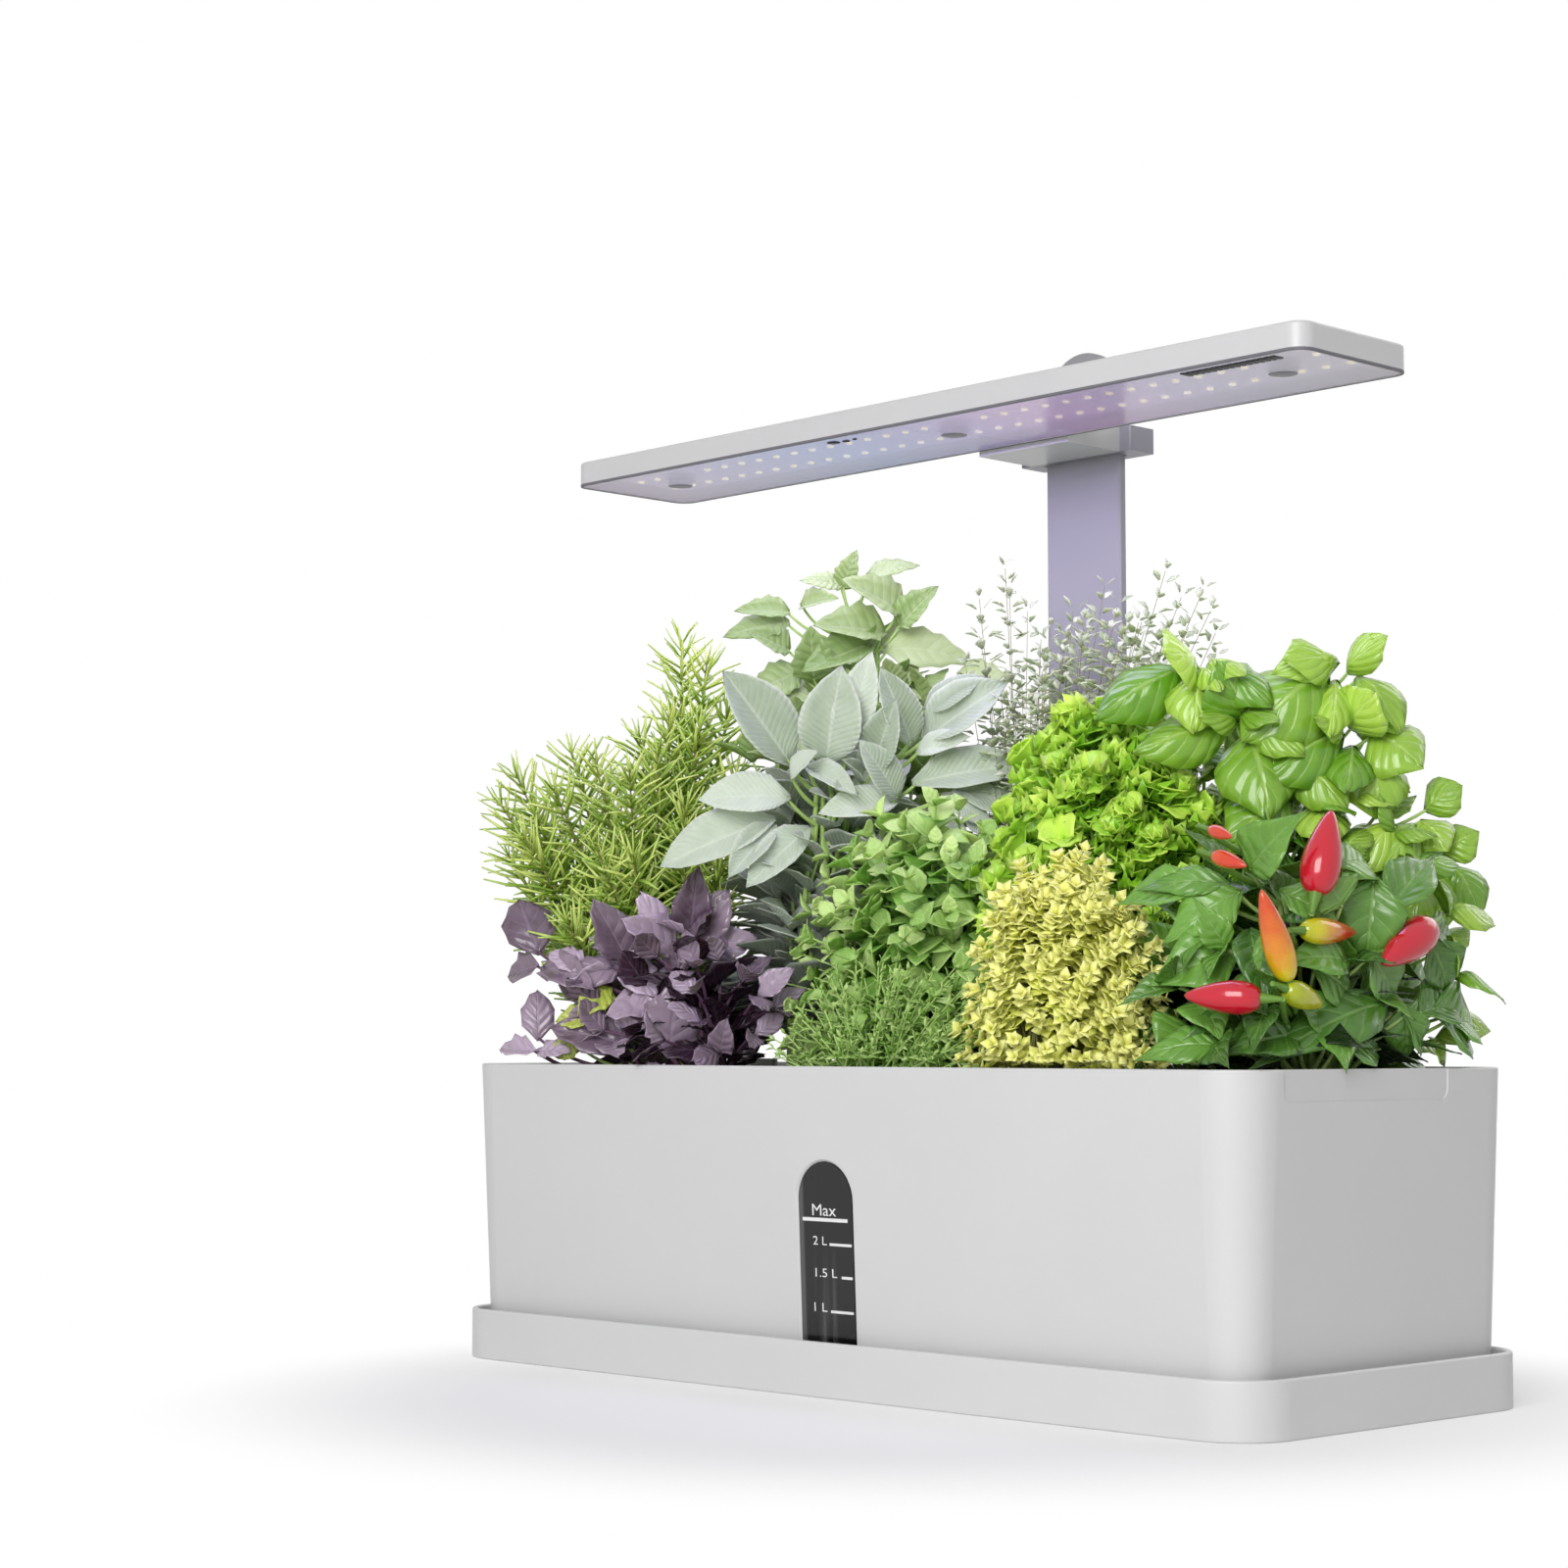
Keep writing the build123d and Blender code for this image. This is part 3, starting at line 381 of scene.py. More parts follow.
# Plugs that close the screw wells flush with the cover
PLUG_RADIUS, PLUG_DEPTH = 4.7, 0.8
plugs = bmesh.new()
for x in SCREWS:
    made = bmesh.ops.create_cone(plugs, cap_ends=True, segments=32, radius1=PLUG_RADIUS * MM,
                                 radius2=PLUG_RADIUS * MM, depth=PLUG_DEPTH * MM)["verts"]
    bmesh.ops.translate(plugs, vec=(x * MM, LAMP_MIDDLE * MM, UNDER + 0.35 * MM), verts=made)
ease_edges(plugs, 0.15)
finish_piece("screw_plugs", plugs, [plug_abs], "lamp", "dark_plastic")

# Painted shadow line: a dark strip round the lower edge of the lamp's shell, a hair proud of it and below it,
# standing for the shade in the gap to the cover
SEAM_PROUD, SEAM_DROP, SEAM_WIDTH, SEAM_HEIGHT = 0.06, 0.03, 1.25, 0.9
seam = bmesh.new()
bmesh.ops.create_grid(seam, x_segments=1, y_segments=1, size=0.5)
bmesh.ops.scale(seam, vec=((LAMP_LENGTH + 2 * SEAM_PROUD) * MM, (LAMP_DEPTH + 2 * SEAM_PROUD) * MM, 1),
                verts=seam.verts)
bmesh.ops.bevel(seam, geom=seam.verts[:], offset=(LAMP_CORNER + SEAM_PROUD) * MM, affect="VERTICES", segments=8,
                profile=0.5, material=-1)
band = bmesh.ops.inset_region(seam, faces=seam.faces[:], thickness=SEAM_WIDTH * MM, use_boundary=True,
                              use_even_offset=True)["faces"]
bmesh.ops.delete(seam, geom=[face for face in seam.faces if face not in band], context="FACES")
bmesh.ops.solidify(seam, geom=seam.faces[:], thickness=SEAM_HEIGHT * MM)
bmesh.ops.recalc_face_normals(seam, faces=seam.faces)
seam_foot = min(vert.co.z for vert in seam.verts)
bmesh.ops.translate(seam, vec=(0, LAMP_MIDDLE * MM, (LAMP_EDGE - SEAM_DROP) * MM - seam_foot), verts=seam.verts)
ease_edges(seam, 0.04, segments=1)
finish_piece("lamp_seam_painted_shadow", seam, [seam_painted_shadow], "lamp", "dark_plastic")


def leaf_grid(columns, rows):
    """A flat grid of unit size with the UV that a leaf's veins follow."""
    bm = bmesh.new()
    bm.loops.layers.uv.new("UVMap")
    bmesh.ops.create_grid(bm, x_segments=columns, y_segments=rows, size=0.5, calc_uvs=True)
    return bm


def leaf_mesh(name, bm, thick):
    """Give a shaped grid its thickness, and make it a mesh that can carry a tone."""
    bmesh.ops.remove_doubles(bm, verts=bm.verts, dist=0.002)
    bmesh.ops.solidify(bm, geom=bm.faces[:], thickness=thick)
    mesh = bpy.data.meshes.new(name)
    bm.to_mesh(mesh)
    bm.free()
    mesh.attributes.new("tint", "FLOAT", "FACE")
    return mesh


def leaf(name, outline, columns=4, fold=0.0, droop=0.0, dome=0.0, ruffle=0.0, waves=3, teeth=0.0,
         thick=0.012):
    """A leaf of unit length and width: base at the origin, tip along +Y, upper face towards +Z."""
    rows = len(outline) - 1
    bm = leaf_grid(columns, rows)
    for vert in bm.verts:
        side = 2 * vert.co.x
        along = vert.co.y + 0.5
        row = round(along * rows)
        edge = abs(side)
        half = 0.5 * outline[row]
        if edge > 0.99:
            half *= 1 + teeth * (-1) ** row
        rise = fold * edge * half + dome * (1 - edge ** 2) * sin(pi * along)
        rise += ruffle * edge ** 2 * sin(2 * pi * waves * along + (1.7 if side < 0 else 0))
        if droop:
            turn = droop * along
            vert.co = (side * half, sin(turn) / droop - rise * sin(turn),
                       rise * cos(turn) - (1 - cos(turn)) / droop)
        else:
            vert.co = (side * half, along, rise)
    return leaf_mesh(name, bm, thick)


def curled_fan(name, lobes, curl, thick=0.02):
    """A curled leaflet: a fan from the origin along +Y whose rim is cut in lobes and frilled."""
    columns = 2 * lobes
    bm = leaf_grid(columns, 2)
    for vert in bm.verts:
        column = round((vert.co.x + 0.5) * columns)
        out = vert.co.y + 0.5
        turn = 2 * vert.co.x * radians(100)
        reach = out * (1 if column % 2 else 1 - 0.12 * out)
        frill = curl * out ** 2 * (1 if column % 2 else -1) + 0.18 * out ** 2
        vert.co = (0.5 * reach * sin(turn), 0.45 + 0.5 * reach * cos(turn), frill)
    return leaf_mesh(name, bm, thick)


def put(bm, shape, base, edges, tones):
    """Copy a shape into a plant, its unit axes laid along three edges, with the tone of each face."""
    place = Matrix(edges).transposed().to_4x4()
    place.translation = base
    copy = shape.copy()
    copy.transform(place)
    copy.attributes["tint"].data.foreach_set("value", tones)
    bm.from_mesh(copy)
    bpy.data.meshes.remove(copy)


def set_leaf(bm, shape, base, tip, width, facing, tone):
    """Copy a leaf into a plant from base to tip, with its upper face turned towards facing."""
    size = (tip - base).length
    near_rim = abs(tip.x) > RIM_X or abs(tip.y) > RIM_Y
    sag = LEAF_SAG * size * max(0, facing.normalized().z)
    tip.z = max(tip.z, TIP_OVER_RIM + sag if near_rim else TIP_OVER_DECK + 0.5 * sag)
    tip.y = min(tip.y, BACK_LIMIT)
    base.z = max(base.z, BASE_OVER_RIM if near_rim else BASE_OVER_DECK)
    along = (tip - base).normalized() * size
    across = along.cross(facing)
    if across.length < 1e-6:
        across = along.orthogonal()
    across.normalize()
    above = across.cross(along).normalized()
    put(bm, shape, base, (across * width, along, above * along.length), [tone] * len(shape.polygons))


def bend(points, share):
    """Place and heading on the curve of a stem at a share of its length."""
    a, b, c = points
    rest = 1 - share
    spot = a * rest ** 2 + b * (2 * rest * share) + c * share ** 2
    heading = ((b - a) * rest + (c - b) * share).normalized()
    return spot, heading


def add_stems(bm, stems, slot):
    """Round stems along their curves, as thick as each end says."""
    curve = bpy.data.curves.new("stems", "CURVE")
    curve.dimensions = "3D"
    curve.bevel_depth = 1.0
    curve.bevel_resolution = 1
    curve.resolution_u = 4
    curve.use_fill_caps = True
    for points, thick, thin in stems:
        spline = curve.splines.new("NURBS")
        spline.points.add(len(points) - 1)
        for k, point in enumerate(points):
            spline.points[k].co = (*point, 1)
            spline.points[k].radius = thick + (thin - thick) * k / (len(points) - 1)
        spline.order_u = 3
        spline.use_endpoint_u = True
    holder = bpy.data.objects.new("stems", curve)
    mesh = bpy.data.meshes.new_from_object(holder)
    mesh.polygons.foreach_set("material_index", [slot] * len(mesh.polygons))
    tint = mesh.attributes.new("tint", "FLOAT", "FACE")
    tint.data.foreach_set("value", [0.5] * len(mesh.polygons))
    bm.from_mesh(mesh)
    bpy.data.objects.remove(holder)
    bpy.data.meshes.remove(mesh)


def root_of(pod, spread=5):
    """A place on top of a pod's plug where a stem starts."""
    x, y = PODS[pod]
    return Vector((x + draw.uniform(-spread, spread), y + draw.uniform(-spread, spread), PLUG_TOP - 3)) * MM


def crown(centre, radii, count, low):
    """Places spread over the upper part of an egg-shaped crown, in metres."""
    places = []
    for k in range(count):
        height = 1 - (1 - low) * (k + 0.5) / count
        ring = sqrt(max(0, 1 - height ** 2))
        turn = k * GOLDEN_TURN + draw.uniform(-0.35, 0.35)
        shift = draw.uniform(0.84, 1.02)
        places.append(Vector((centre[0] + radii[0] * ring * cos(turn) * shift,
                              centre[1] + radii[1] * ring * sin(turn) * shift,
                              centre[2] + radii[2] * height * shift)) * MM)
    return places


# How a plant carries its leaves, in millimetres: shapes, length, width share, step along the stem, leafy share of
# the stem, leaves at a joint, degrees from the stem, share of size at the tip, stem radius, stalk share
Habit = namedtuple("Habit", "shapes length share step leafy whorl splay young stem gap", defaults=(0.0,))


def shoot(bm, stems, root, tip, habit, tone=(0.2, 0.9), rise=0.8, spread=0.2, shade=1.2):
    """One stem from root to tip with leaves set round it, whose tone painted shade lowers towards the root."""
    span = tip - root
    elbow = root + Vector((span.x * spread, span.y * spread, span.z * rise))
    points = (root, elbow, tip)
    stems.append((points, habit.stem * MM, habit.stem * 0.45 * MM))
    joints = max(1, int(span.length * habit.leafy / (habit.step * MM)))
    start = draw.uniform(0, pi)
    for k in range(joints + 1):
        share = 1 - habit.leafy * k / joints
        spot, heading = bend(points, share)
        grown = habit.young + (1 - habit.young) * min(1, k / 3)
        size = habit.length * MM * grown * draw.uniform(0.8, 1.15)
        splay = radians(habit.splay) * (0.55 + 0.45 * min(1, k / 3))
        side = heading.orthogonal().normalized()
        for blade in range(habit.whorl):
            turn = start + k * pi / habit.whorl + blade * 2 * pi / habit.whorl + draw.uniform(-0.25, 0.25)
            out = Matrix.Rotation(turn, 3, heading) @ side
            tilt = splay * draw.uniform(0.75, 1.2)
            aim = heading * cos(tilt) + out * sin(tilt)
            base = spot + aim * size * habit.gap
            sway = Vector((draw.uniform(-1, 1), draw.uniform(-1, 1), draw.uniform(-1, 1))) * 0.35
            # Painted shade: each leaf's tone is lowered the nearer it sits to the root
            set_leaf(bm, draw.choice(habit.shapes), base, base + aim * size, size * habit.share,
                     heading + UP * 0.4 + sway, draw.uniform(*tone) - shade * (k / joints) ** 1.5)


def set_by_eye(bm, stems, pod, table, shapes, stem, tone, core, broad=1.4, long=1.15):
    """Leaves placed one by one, each on a stalk that comes from the middle of its plant."""
    middle = Vector(core) * MM
    facing = UP * 0.55 - LOOK
    for row in table:
        base, tip, width = Vector(row[:3]) * MM, Vector(row[3:6]) * MM, row[6] * MM
        pale = row[7] if len(row) > 7 else 0
        set_leaf(bm, draw.choice(shapes), base, base + (tip - base) * long, width * broad, facing,
                 1.0 if pale else draw.uniform(*tone))
        heart = base.lerp(Vector((middle.x, middle.y, base.z - 18 * MM)), 0.55)
        stems.append(((heart, base.lerp(heart, 0.4) - UP * 3 * MM, base + (tip - base) * 0.06), stem * MM,
                      stem * 0.7 * MM))
        root = root_of(pod, 6)
        stems.append(((root, Vector((root.x * 0.6 + heart.x * 0.4, root.y * 0.6 + heart.y * 0.4,
                                     root.z * 0.45 + heart.z * 0.55)), heart), stem * 1.5 * MM, stem * MM))


# Leaf shapes, a few of each kind that differ in fold and droop
needle = [leaf("needle", (0.7, 1.0, 0.25), 2, fold=-0.05, droop=d, thick=0.03) for d in (0.15, 0.5, -0.25)]
sage_leaf = [
    leaf("sage_leaf", (0.1, 0.5, 0.82, 0.97, 1.0, 0.95, 0.8, 0.5, 0.0), 6, fold=f, droop=d, ruffle=0.012, waves=5,
         thick=0.012) for f, d in ((0.25, 0.35), (0.4, 0.2), (0.15, 0.6))]
basil_leaf = [
    leaf("basil_leaf", (0.1, 0.62, 0.93, 1.0, 0.9, 0.64, 0.3, 0.0), 6, fold=-0.25, droop=d, dome=o, ruffle=0.02,
         thick=0.01) for d, o in ((0.7, 0.14), (1.0, 0.18), (0.4, 0.1))]
purple_leaf = [
    leaf("purple_leaf", (0.08, 0.55, 0.9, 1.0, 0.95, 0.75, 0.42, 0.0), 6, fold=f, droop=d, ruffle=0.05, waves=4,
         teeth=0.05, thick=0.01) for f, d in ((0.3, 0.3), (-0.1, 0.7), (0.15, 0.5))]
chili_leaf = [
    leaf("chili_leaf", (0.06, 0.5, 0.88, 1.0, 0.9, 0.66, 0.36, 0.12, 0.0), 6, fold=f, droop=d, dome=0.04,
         ruffle=0.02, thick=0.01) for f, d in ((0.25, 0.5), (0.1, 0.8), (0.35, 0.3))]
mint_leaf = [
    leaf("mint_leaf", (0.15, 0.62, 0.9, 1.0, 0.98, 0.9, 0.76, 0.56, 0.32, 0.0), 4, fold=f, droop=d, ruffle=0.015,
         teeth=0.09, thick=0.01) for f, d in ((0.3, 0.3), (0.15, 0.6), (0.4, 0.15))]
oregano_leaf = [
    leaf("oregano_leaf", (0.2, 0.85, 1.0, 0.68, 0.0), 4, fold=f, droop=d, thick=0.02)
    for f, d in ((0.3, 0.3), (0.1, 0.6), (0.45, 0.1))]
thyme_leaf = [leaf("thyme_leaf", (0.3, 1.0, 0.05), 2, fold=f, droop=0.3, thick=0.05) for f in (0.3, 0.0)]
parsley_leaf = [curled_fan("parsley_fan", 4, c) for c in (0.2, 0.3)]
parsley_leaf += [
    leaf("parsley_curl", (0.25, 0.9, 1.0, 0.85, 0.4), 4, fold=0.3, droop=d, ruffle=0.16, waves=2, teeth=0.12,
         thick=0.02) for d in (0.5, 0.9)]

# Stems: smooth green skin, or bark where they turn woody
green_stem = moulded("green_stem", "#C4E08C", "#A4C868", 6, 0.8, 0.08, 0.5, IOR=1.4)
fresh_stem = moulded("fresh_green_stem", "#6F9A3C", "#567D2C", 6, 0.8, 0.08, 0.4, IOR=1.4)
woody_stem = moulded("woody_stem", "#9C9E60", "#747045", 5, 0.7, 0.15, 0.7, IOR=1.4)
purple_stem = moulded("purple_stem", "#6B4A62", "#4A3145", 5, 0.8, 0.08, 0.5, IOR=1.4)
# Leaves: thin skin that lets light through, matt where it is felted and glossy where it is waxed. The numbers are
# pairs of side veins, their slant, relief in millimetres, roughness, share of the veins, and share of the painted
# rim highlight
rosemary_skin = leaf_skin("rosemary_needle", "#7CB02A", "#E2F480", "#E8F2AC", 0.3, 0.0, 0.1, 0.4, 0.35)
# Sage: its paler rim is a painted rim highlight
sage_skin = leaf_skin("sage_felt", "#8FA08A", "#D8E3D1", "#E8EEE2", 16, 8, 0.2, 0.75, 0.4, 0.7,
                      Sheen_Weight=0.3)
oregano_skin = leaf_skin("oregano_leaf", "#78AE44", "#D8F49A", "#E2F6B4", 4, 2, 0.15, 0.45, 0.3)
parsley_skin = leaf_skin("parsley_leaf", "#88C826", "#D6FC62", "#E0FA8C", 2, 0, 0.1, 0.4, 0.2)
chili_skin = leaf_skin("chili_leaf", "#3A6622", "#7AB046", "#9CC470", 6, 3, 0.4, 0.26, 0.35)
purple_skin = leaf_skin("purple_basil_leaf", "#442C42", "#CAB4CA", "#C6B2C6", 5, 3, 0.4, 0.18, 0.15)
lime_skin = leaf_skin("pale_basil_leaf", "#A9BE45", "#D5DD6C", "#E3E89A", 6, 3, 0.4, 0.35, 0.4)
thyme_skin = leaf_skin("thyme_leaf", "#7DAE44", "#C4E48A", "#D2EBA2", 1, 0, 0.05, 0.45, 0.2)
golden_skin = leaf_skin("golden_thyme_leaf", "#E8F24E", "#FFFF9C", "#FFFFC8", 1, 0, 0.05, 0.45, 0.25)
mint_skin = leaf_skin("mint_leaf", "#7B9C52", "#BECF98", "#CCDAB0", 7, 3, 0.3, 0.45, 0.4)
pale_thyme_skin = leaf_skin("pale_thyme_leaf", "#9AAE82", "#DFE5CA", "#E6EBD6", 1, 0, 0.05, 0.5, 0.2)
basil_skin = leaf_skin("basil_leaf", "#56921A", "#B6DE52", "#D2EC92", 5, 3, 0.4, 0.2, 0.28)


def plant(pod, bm, stems, materials, slot="foliage"):
    """Close a plant: add its stems, and let it stand for the solid of its pod."""
    add_stems(bm, stems, len(materials) - 1)
    return finish_piece(f"{pod}_leaves", bm, materials, f"pod_{pod}", slot, f"plant_{pod}")


def mound(pod, spread, tips, habit, carriage, *looks):
    """A plant made of shoots alone, one to each tip."""
    bm, stems = bmesh.new(), []
    for tip in tips:
        shoot(bm, stems, root_of(pod, spread), tip, habit, *carriage)
    plant(pod, bm, stems, *looks)


# Tables give places in millimetres. A leaf's row has its base, its tip and its width, and a 1 where it is pale

# Rosemary: upright stems clothed in needles, which stay clear of the lamp when the pod is lifted
ROSEMARY_DROP = 8
rosemary_tips = (
    (-152, 7, 284), (-142, 11, 275), (-159, -9, 246), (-173, -32, 239), (-152, -38, 235), (-183, -51, 229),
    (-183, -59, 218), (-160, -52, 223), (-134, -36, 229), (-147, -4, 253), (-137, -19, 237), (-136, 2, 249),
    (-137, -64, 171), (-119, -47, 196), (-128, -57, 198), (-166, -61, 204), (-177, -60, 198),
    (-139, 21, 260), (-119, -21, 215), (-171, -52, 214), (-170, 12, 236), (-178, -8, 216), (-160, 22, 222),
    (-132, 18, 232), (-180, -28, 200), (-150, -30, 190), (-140, -48, 180), (-172, 4, 196), (-128, -8, 205),
    (-160, -20, 212), (-112, -6, 196), (-108, -28, 172), (-116, 4, 204), (-124, -38, 168), (-104, -16, 178),
    (-150, -56, 168),
)
habit = Habit(needle, 17, 0.075, 3.2, 0.8, 4, 52, 0.6, 0.8)
tips = [(Vector(tip) - UP * ROSEMARY_DROP) * MM for tip in rosemary_tips]
mound("rosemary", 8, tips, habit, ((0.2, 1.1), 0.5, 0.4, 0.8), [rosemary_skin, woody_stem])

# Sage: long felted leaves, each placed as it hangs, and a ring of them behind
sage_table = (
    (-58, -24, 220, -64, -47, 250, 18), (-49, -15, 220, -35, -22, 250, 19),
    (-44, -10, 224, -28, -15, 255, 13), (-37, -3, 217, -22, -8, 239, 12), (-27, 8, 227, -22, -9, 250, 12),
    (-24, 11, 239, -5, 15, 252, 9), (-24, 11, 229, 0, 24, 248, 16), (-26, 9, 224, -7, 12, 230, 8, 1),
    (-27, 8, 213, 3, 32, 222, 14), (-17, 19, 211, 5, 39, 205, 13), (-62, -28, 200, -86, -59, 187, 16),
    (-58, -24, 208, -71, -52, 209, 14), (-53, -19, 197, -58, -43, 179, 12),
    (-62, -28, 198, -64, -47, 181, 10), (-31, 4, 206, -37, -24, 204, 11, 1),
    (-30, 4, 207, -27, -14, 225, 11), (-54, -20, 219, -32, -19, 210, 8), (-17, 20, 200, -8, 11, 188, 7),
    (-14, 23, 200, 0, 24, 194, 7), (-20, 16, 209, -2, 21, 201, 8), (-40, -6, 213, -32, -20, 220, 5),
    (-58, -24, 215, -43, -30, 223, 7, 1),
)
bm, stems = bmesh.new(), []
set_by_eye(bm, stems, "sage", sage_table, sage_leaf, 0.9, (0.2, 0.95), (-56, -2, 190), 1.22, 1.12)
habit = Habit(sage_leaf, 38, 0.45, 17, 0.7, 2, 66, 0.6, 1.2)
for tip in crown((-62, 4, 150), (34, 20, 86), 16, 0.1):
    shoot(bm, stems, root_of("sage"), tip, habit, (0.0, 0.7))
plant("sage", bm, stems, [sage_skin, green_stem], "grey_foliage")

# Oregano: a dense mound of small round leaves in pairs
habit = Habit(oregano_leaf, 16, 0.8, 10, 0.62, 2, 68, 0.5, 0.7)
tips = crown((0, -14, 122), (62, 40, 84), 90, -0.05)
mound("oregano", 8, tips, habit, ((0.1, 1.1), 0.8, 0.2, 1.0), [oregano_skin, green_stem])

# Parsley: curled fans packed in a mound
habit = Habit(parsley_leaf, 10, 1.15, 7, 0.34, 4, 66, 0.9, 0.8)
tips = crown((70, 0, 150), (46, 36, 82), 76, -0.1)
mound("parsley", 8, tips, habit, ((0.2, 1.1), 0.85, 0.2, 1.0), [parsley_skin, green_stem])

# Chili: dark pointed leaves, and fruit at several stages of ripeness
chili_table = (
    (162, -37, 172, 180, -42, 185, 12), (157, -40, 168, 140, -56, 171, 7),
    (160, -38, 166, 149, -56, 156, 12), (159, -39, 147, 145, -56, 140, 14),
    (162, -37, 154, 174, -46, 135, 10), (169, -31, 166, 183, -22, 158, 8), (183, 0, 171, 183, -4, 147, 14),
    (183, 5, 159, 183, 29, 177, 11), (183, 28, 155, 183, 46, 152, 9), (183, 29, 152, 183, 40, 137, 11),
    (183, 7, 131, 183, -37, 123, 13), (179, -21, 121, 183, 9, 124, 8), (161, -37, 124, 155, -55, 113, 10),
    (173, -27, 121, 170, -48, 113, 11), (181, -19, 119, 183, 2, 114, 12), (183, 14, 131, 183, 17, 114, 10),
    (183, 30, 129, 183, 55, 114, 17), (183, -15, 144, 183, -37, 146, 10), (176, -24, 142, 183, -6, 134, 11),
    (182, -18, 174, 183, 6, 178, 10), (183, -17, 161, 183, -23, 168, 11), (183, 14, 128, 183, 32, 114, 12),
    (148, -45, 131, 161, -53, 124, 12), (145, -46, 124, 145, -56, 114, 13),
    (183, 23, 128, 183, 42, 131, 12), (150, -44, 167, 127, -52, 165, 9), (167, -32, 120, 167, -50, 114, 10),
    (183, 38, 126, 183, 59, 124, 12), (172, -29, 151, 174, -46, 143, 9), (183, -4, 147, 183, 10, 134, 12),
    (153, -42, 134, 171, -48, 131, 9),
)
# Base, tip, width, and ripeness at the base and at the tip of each fruit
fruit_table = (
    (183, -31, 164, 183, -22, 191, 12, 1.0, 1.0), (183, -45, 137, 183, -58, 165, 9, 0.25, 0.72),
    (183, -38, 153, 183, -10, 153, 8, 0.1, 0.85), (189, 22, 156, 189, -5, 143, 12, 1.0, 0.95),
    (180, -54, 132, 159, -66, 133, 10, 1.0, 1.0), (183, -47, 135, 183, -28, 130, 8, 0.05, 0.2),
    (166, -60, 176, 180, -61, 172, 5, 0.7, 0.8), (165, -60, 184, 176, -63, 181, 4, 0.8, 0.8),
)
bm, stems = bmesh.new(), []
set_by_eye(bm, stems, "chili", chili_table, chili_leaf, 0.8, (0.1, 0.9), (160, -6, 140), 1.6, 1.35)
habit = Habit(chili_leaf, 42, 0.52, 18, 0.45, 2, 66, 0.6, 1.3)
for tip in crown((150, -10, 112), (30, 50, 66), 26, 0.0):
    shoot(bm, stems, root_of("chili"), tip, habit, (0.0, 0.8))
plant("chili", bm, stems, [chili_skin, green_stem])


def ripening():
    """Waxy skin of the fruit, from green through yellow and orange to red, very glossy."""
    material, tree, shader = skin("chili_fruit_skin", Roughness=0.16, IOR=1.5, Coat_Weight=0.3)
    tint = add(tree, "ShaderNodeAttribute", attribute_name="tint")
    place = add(tree, "ShaderNodeTexCoord").outputs["Object"]
    streak = add(tree, "ShaderNodeTexNoise", {"Vector": place, "Scale": 1 / (5 * MM), "Detail": 3.0})
    shift = add(tree, "ShaderNodeMapRange", {"Value": streak.outputs["Fac"], 3: -0.1, 4: 0.1})
    level = add(tree, "ShaderNodeMath", {0: tint.outputs["Fac"], 1: shift.outputs[0]}, operation="ADD")
    ramp = add(tree, "ShaderNodeValToRGB", {"Fac": level.outputs[0]})
    set_stops(ramp.color_ramp.elements, (
        (0.0, "#8FA81C"), (0.25, "#D9CE12"), (0.5, "#E08A1A"), (0.75, "#D8451A"), (0.95, "#C8102A")))
    tree.links.new(ramp.outputs[0], shader.inputs["Base Color"])
    return material


# One fruit of unit length and width, spun from its profile: full near the stalk and drawn out to its tip
fruit_steps = 28
fruit_shares = [k / fruit_steps for k in range(fruit_steps)]
fruit_profile = [(0.52 * sin(pi * s ** 0.72) ** 0.6 * (1 - 0.25 * s), s) for s in fruit_shares] + [(0.0, 1.0)]
fruit = bmesh.new()
ring = [fruit.verts.new((r, y, 0)) for r, y in fruit_profile]
spun = [fruit.edges.new(pair) for pair in zip(ring, ring[1:])]
bmesh.ops.spin(fruit, geom=ring + spun, axis=(0, 1, 0), cent=(0, 0, 0), angle=2 * pi, steps=14,
               use_merge=True)
bmesh.ops.remove_doubles(fruit, verts=fruit.verts, dist=0.001)
bmesh.ops.recalc_face_normals(fruit, faces=fruit.faces)
fruit_shape = bpy.data.meshes.new("fruit")
fruit.to_mesh(fruit_shape)
fruit.free()
fruit_shape.attributes.new("tint", "FLOAT", "FACE")

FRUIT_PLUMP = 1.12
bm, stems = bmesh.new(), []
for x, y, z, tx, ty, tz, width, first, last in fruit_table:
    base, tip = Vector((x, y, z)) * MM, Vector((tx, ty, tz)) * MM
    along = tip - base
    across = along.orthogonal().normalized() * width * FRUIT_PLUMP * MM
    edges = (across, along, across.cross(along).normalized() * across.length)
    tones = [first + (last - first) * min(1, face.center.y * 1.3) for face in fruit_shape.polygons]
    put(bm, fruit_shape, base, edges, tones)
    stem_end = base - along.normalized() * 6 * MM
    heart = Vector((158 * MM, -6 * MM, base.z - 12 * MM))
    stems.append(((heart, base.lerp(heart, 0.5) - UP * 4 * MM, stem_end), 1.2 * MM, 1.0 * MM))
    calyx = (stem_end, base - along.normalized() * 3 * MM, base + along * 0.04)
    stems.append((calyx, 0.8 * MM, width * 0.2 * MM))
add_stems(bm, stems, 1)
finish_piece("chili_fruit", bm, [ripening(), fresh_stem], "pod_chili", "foliage")

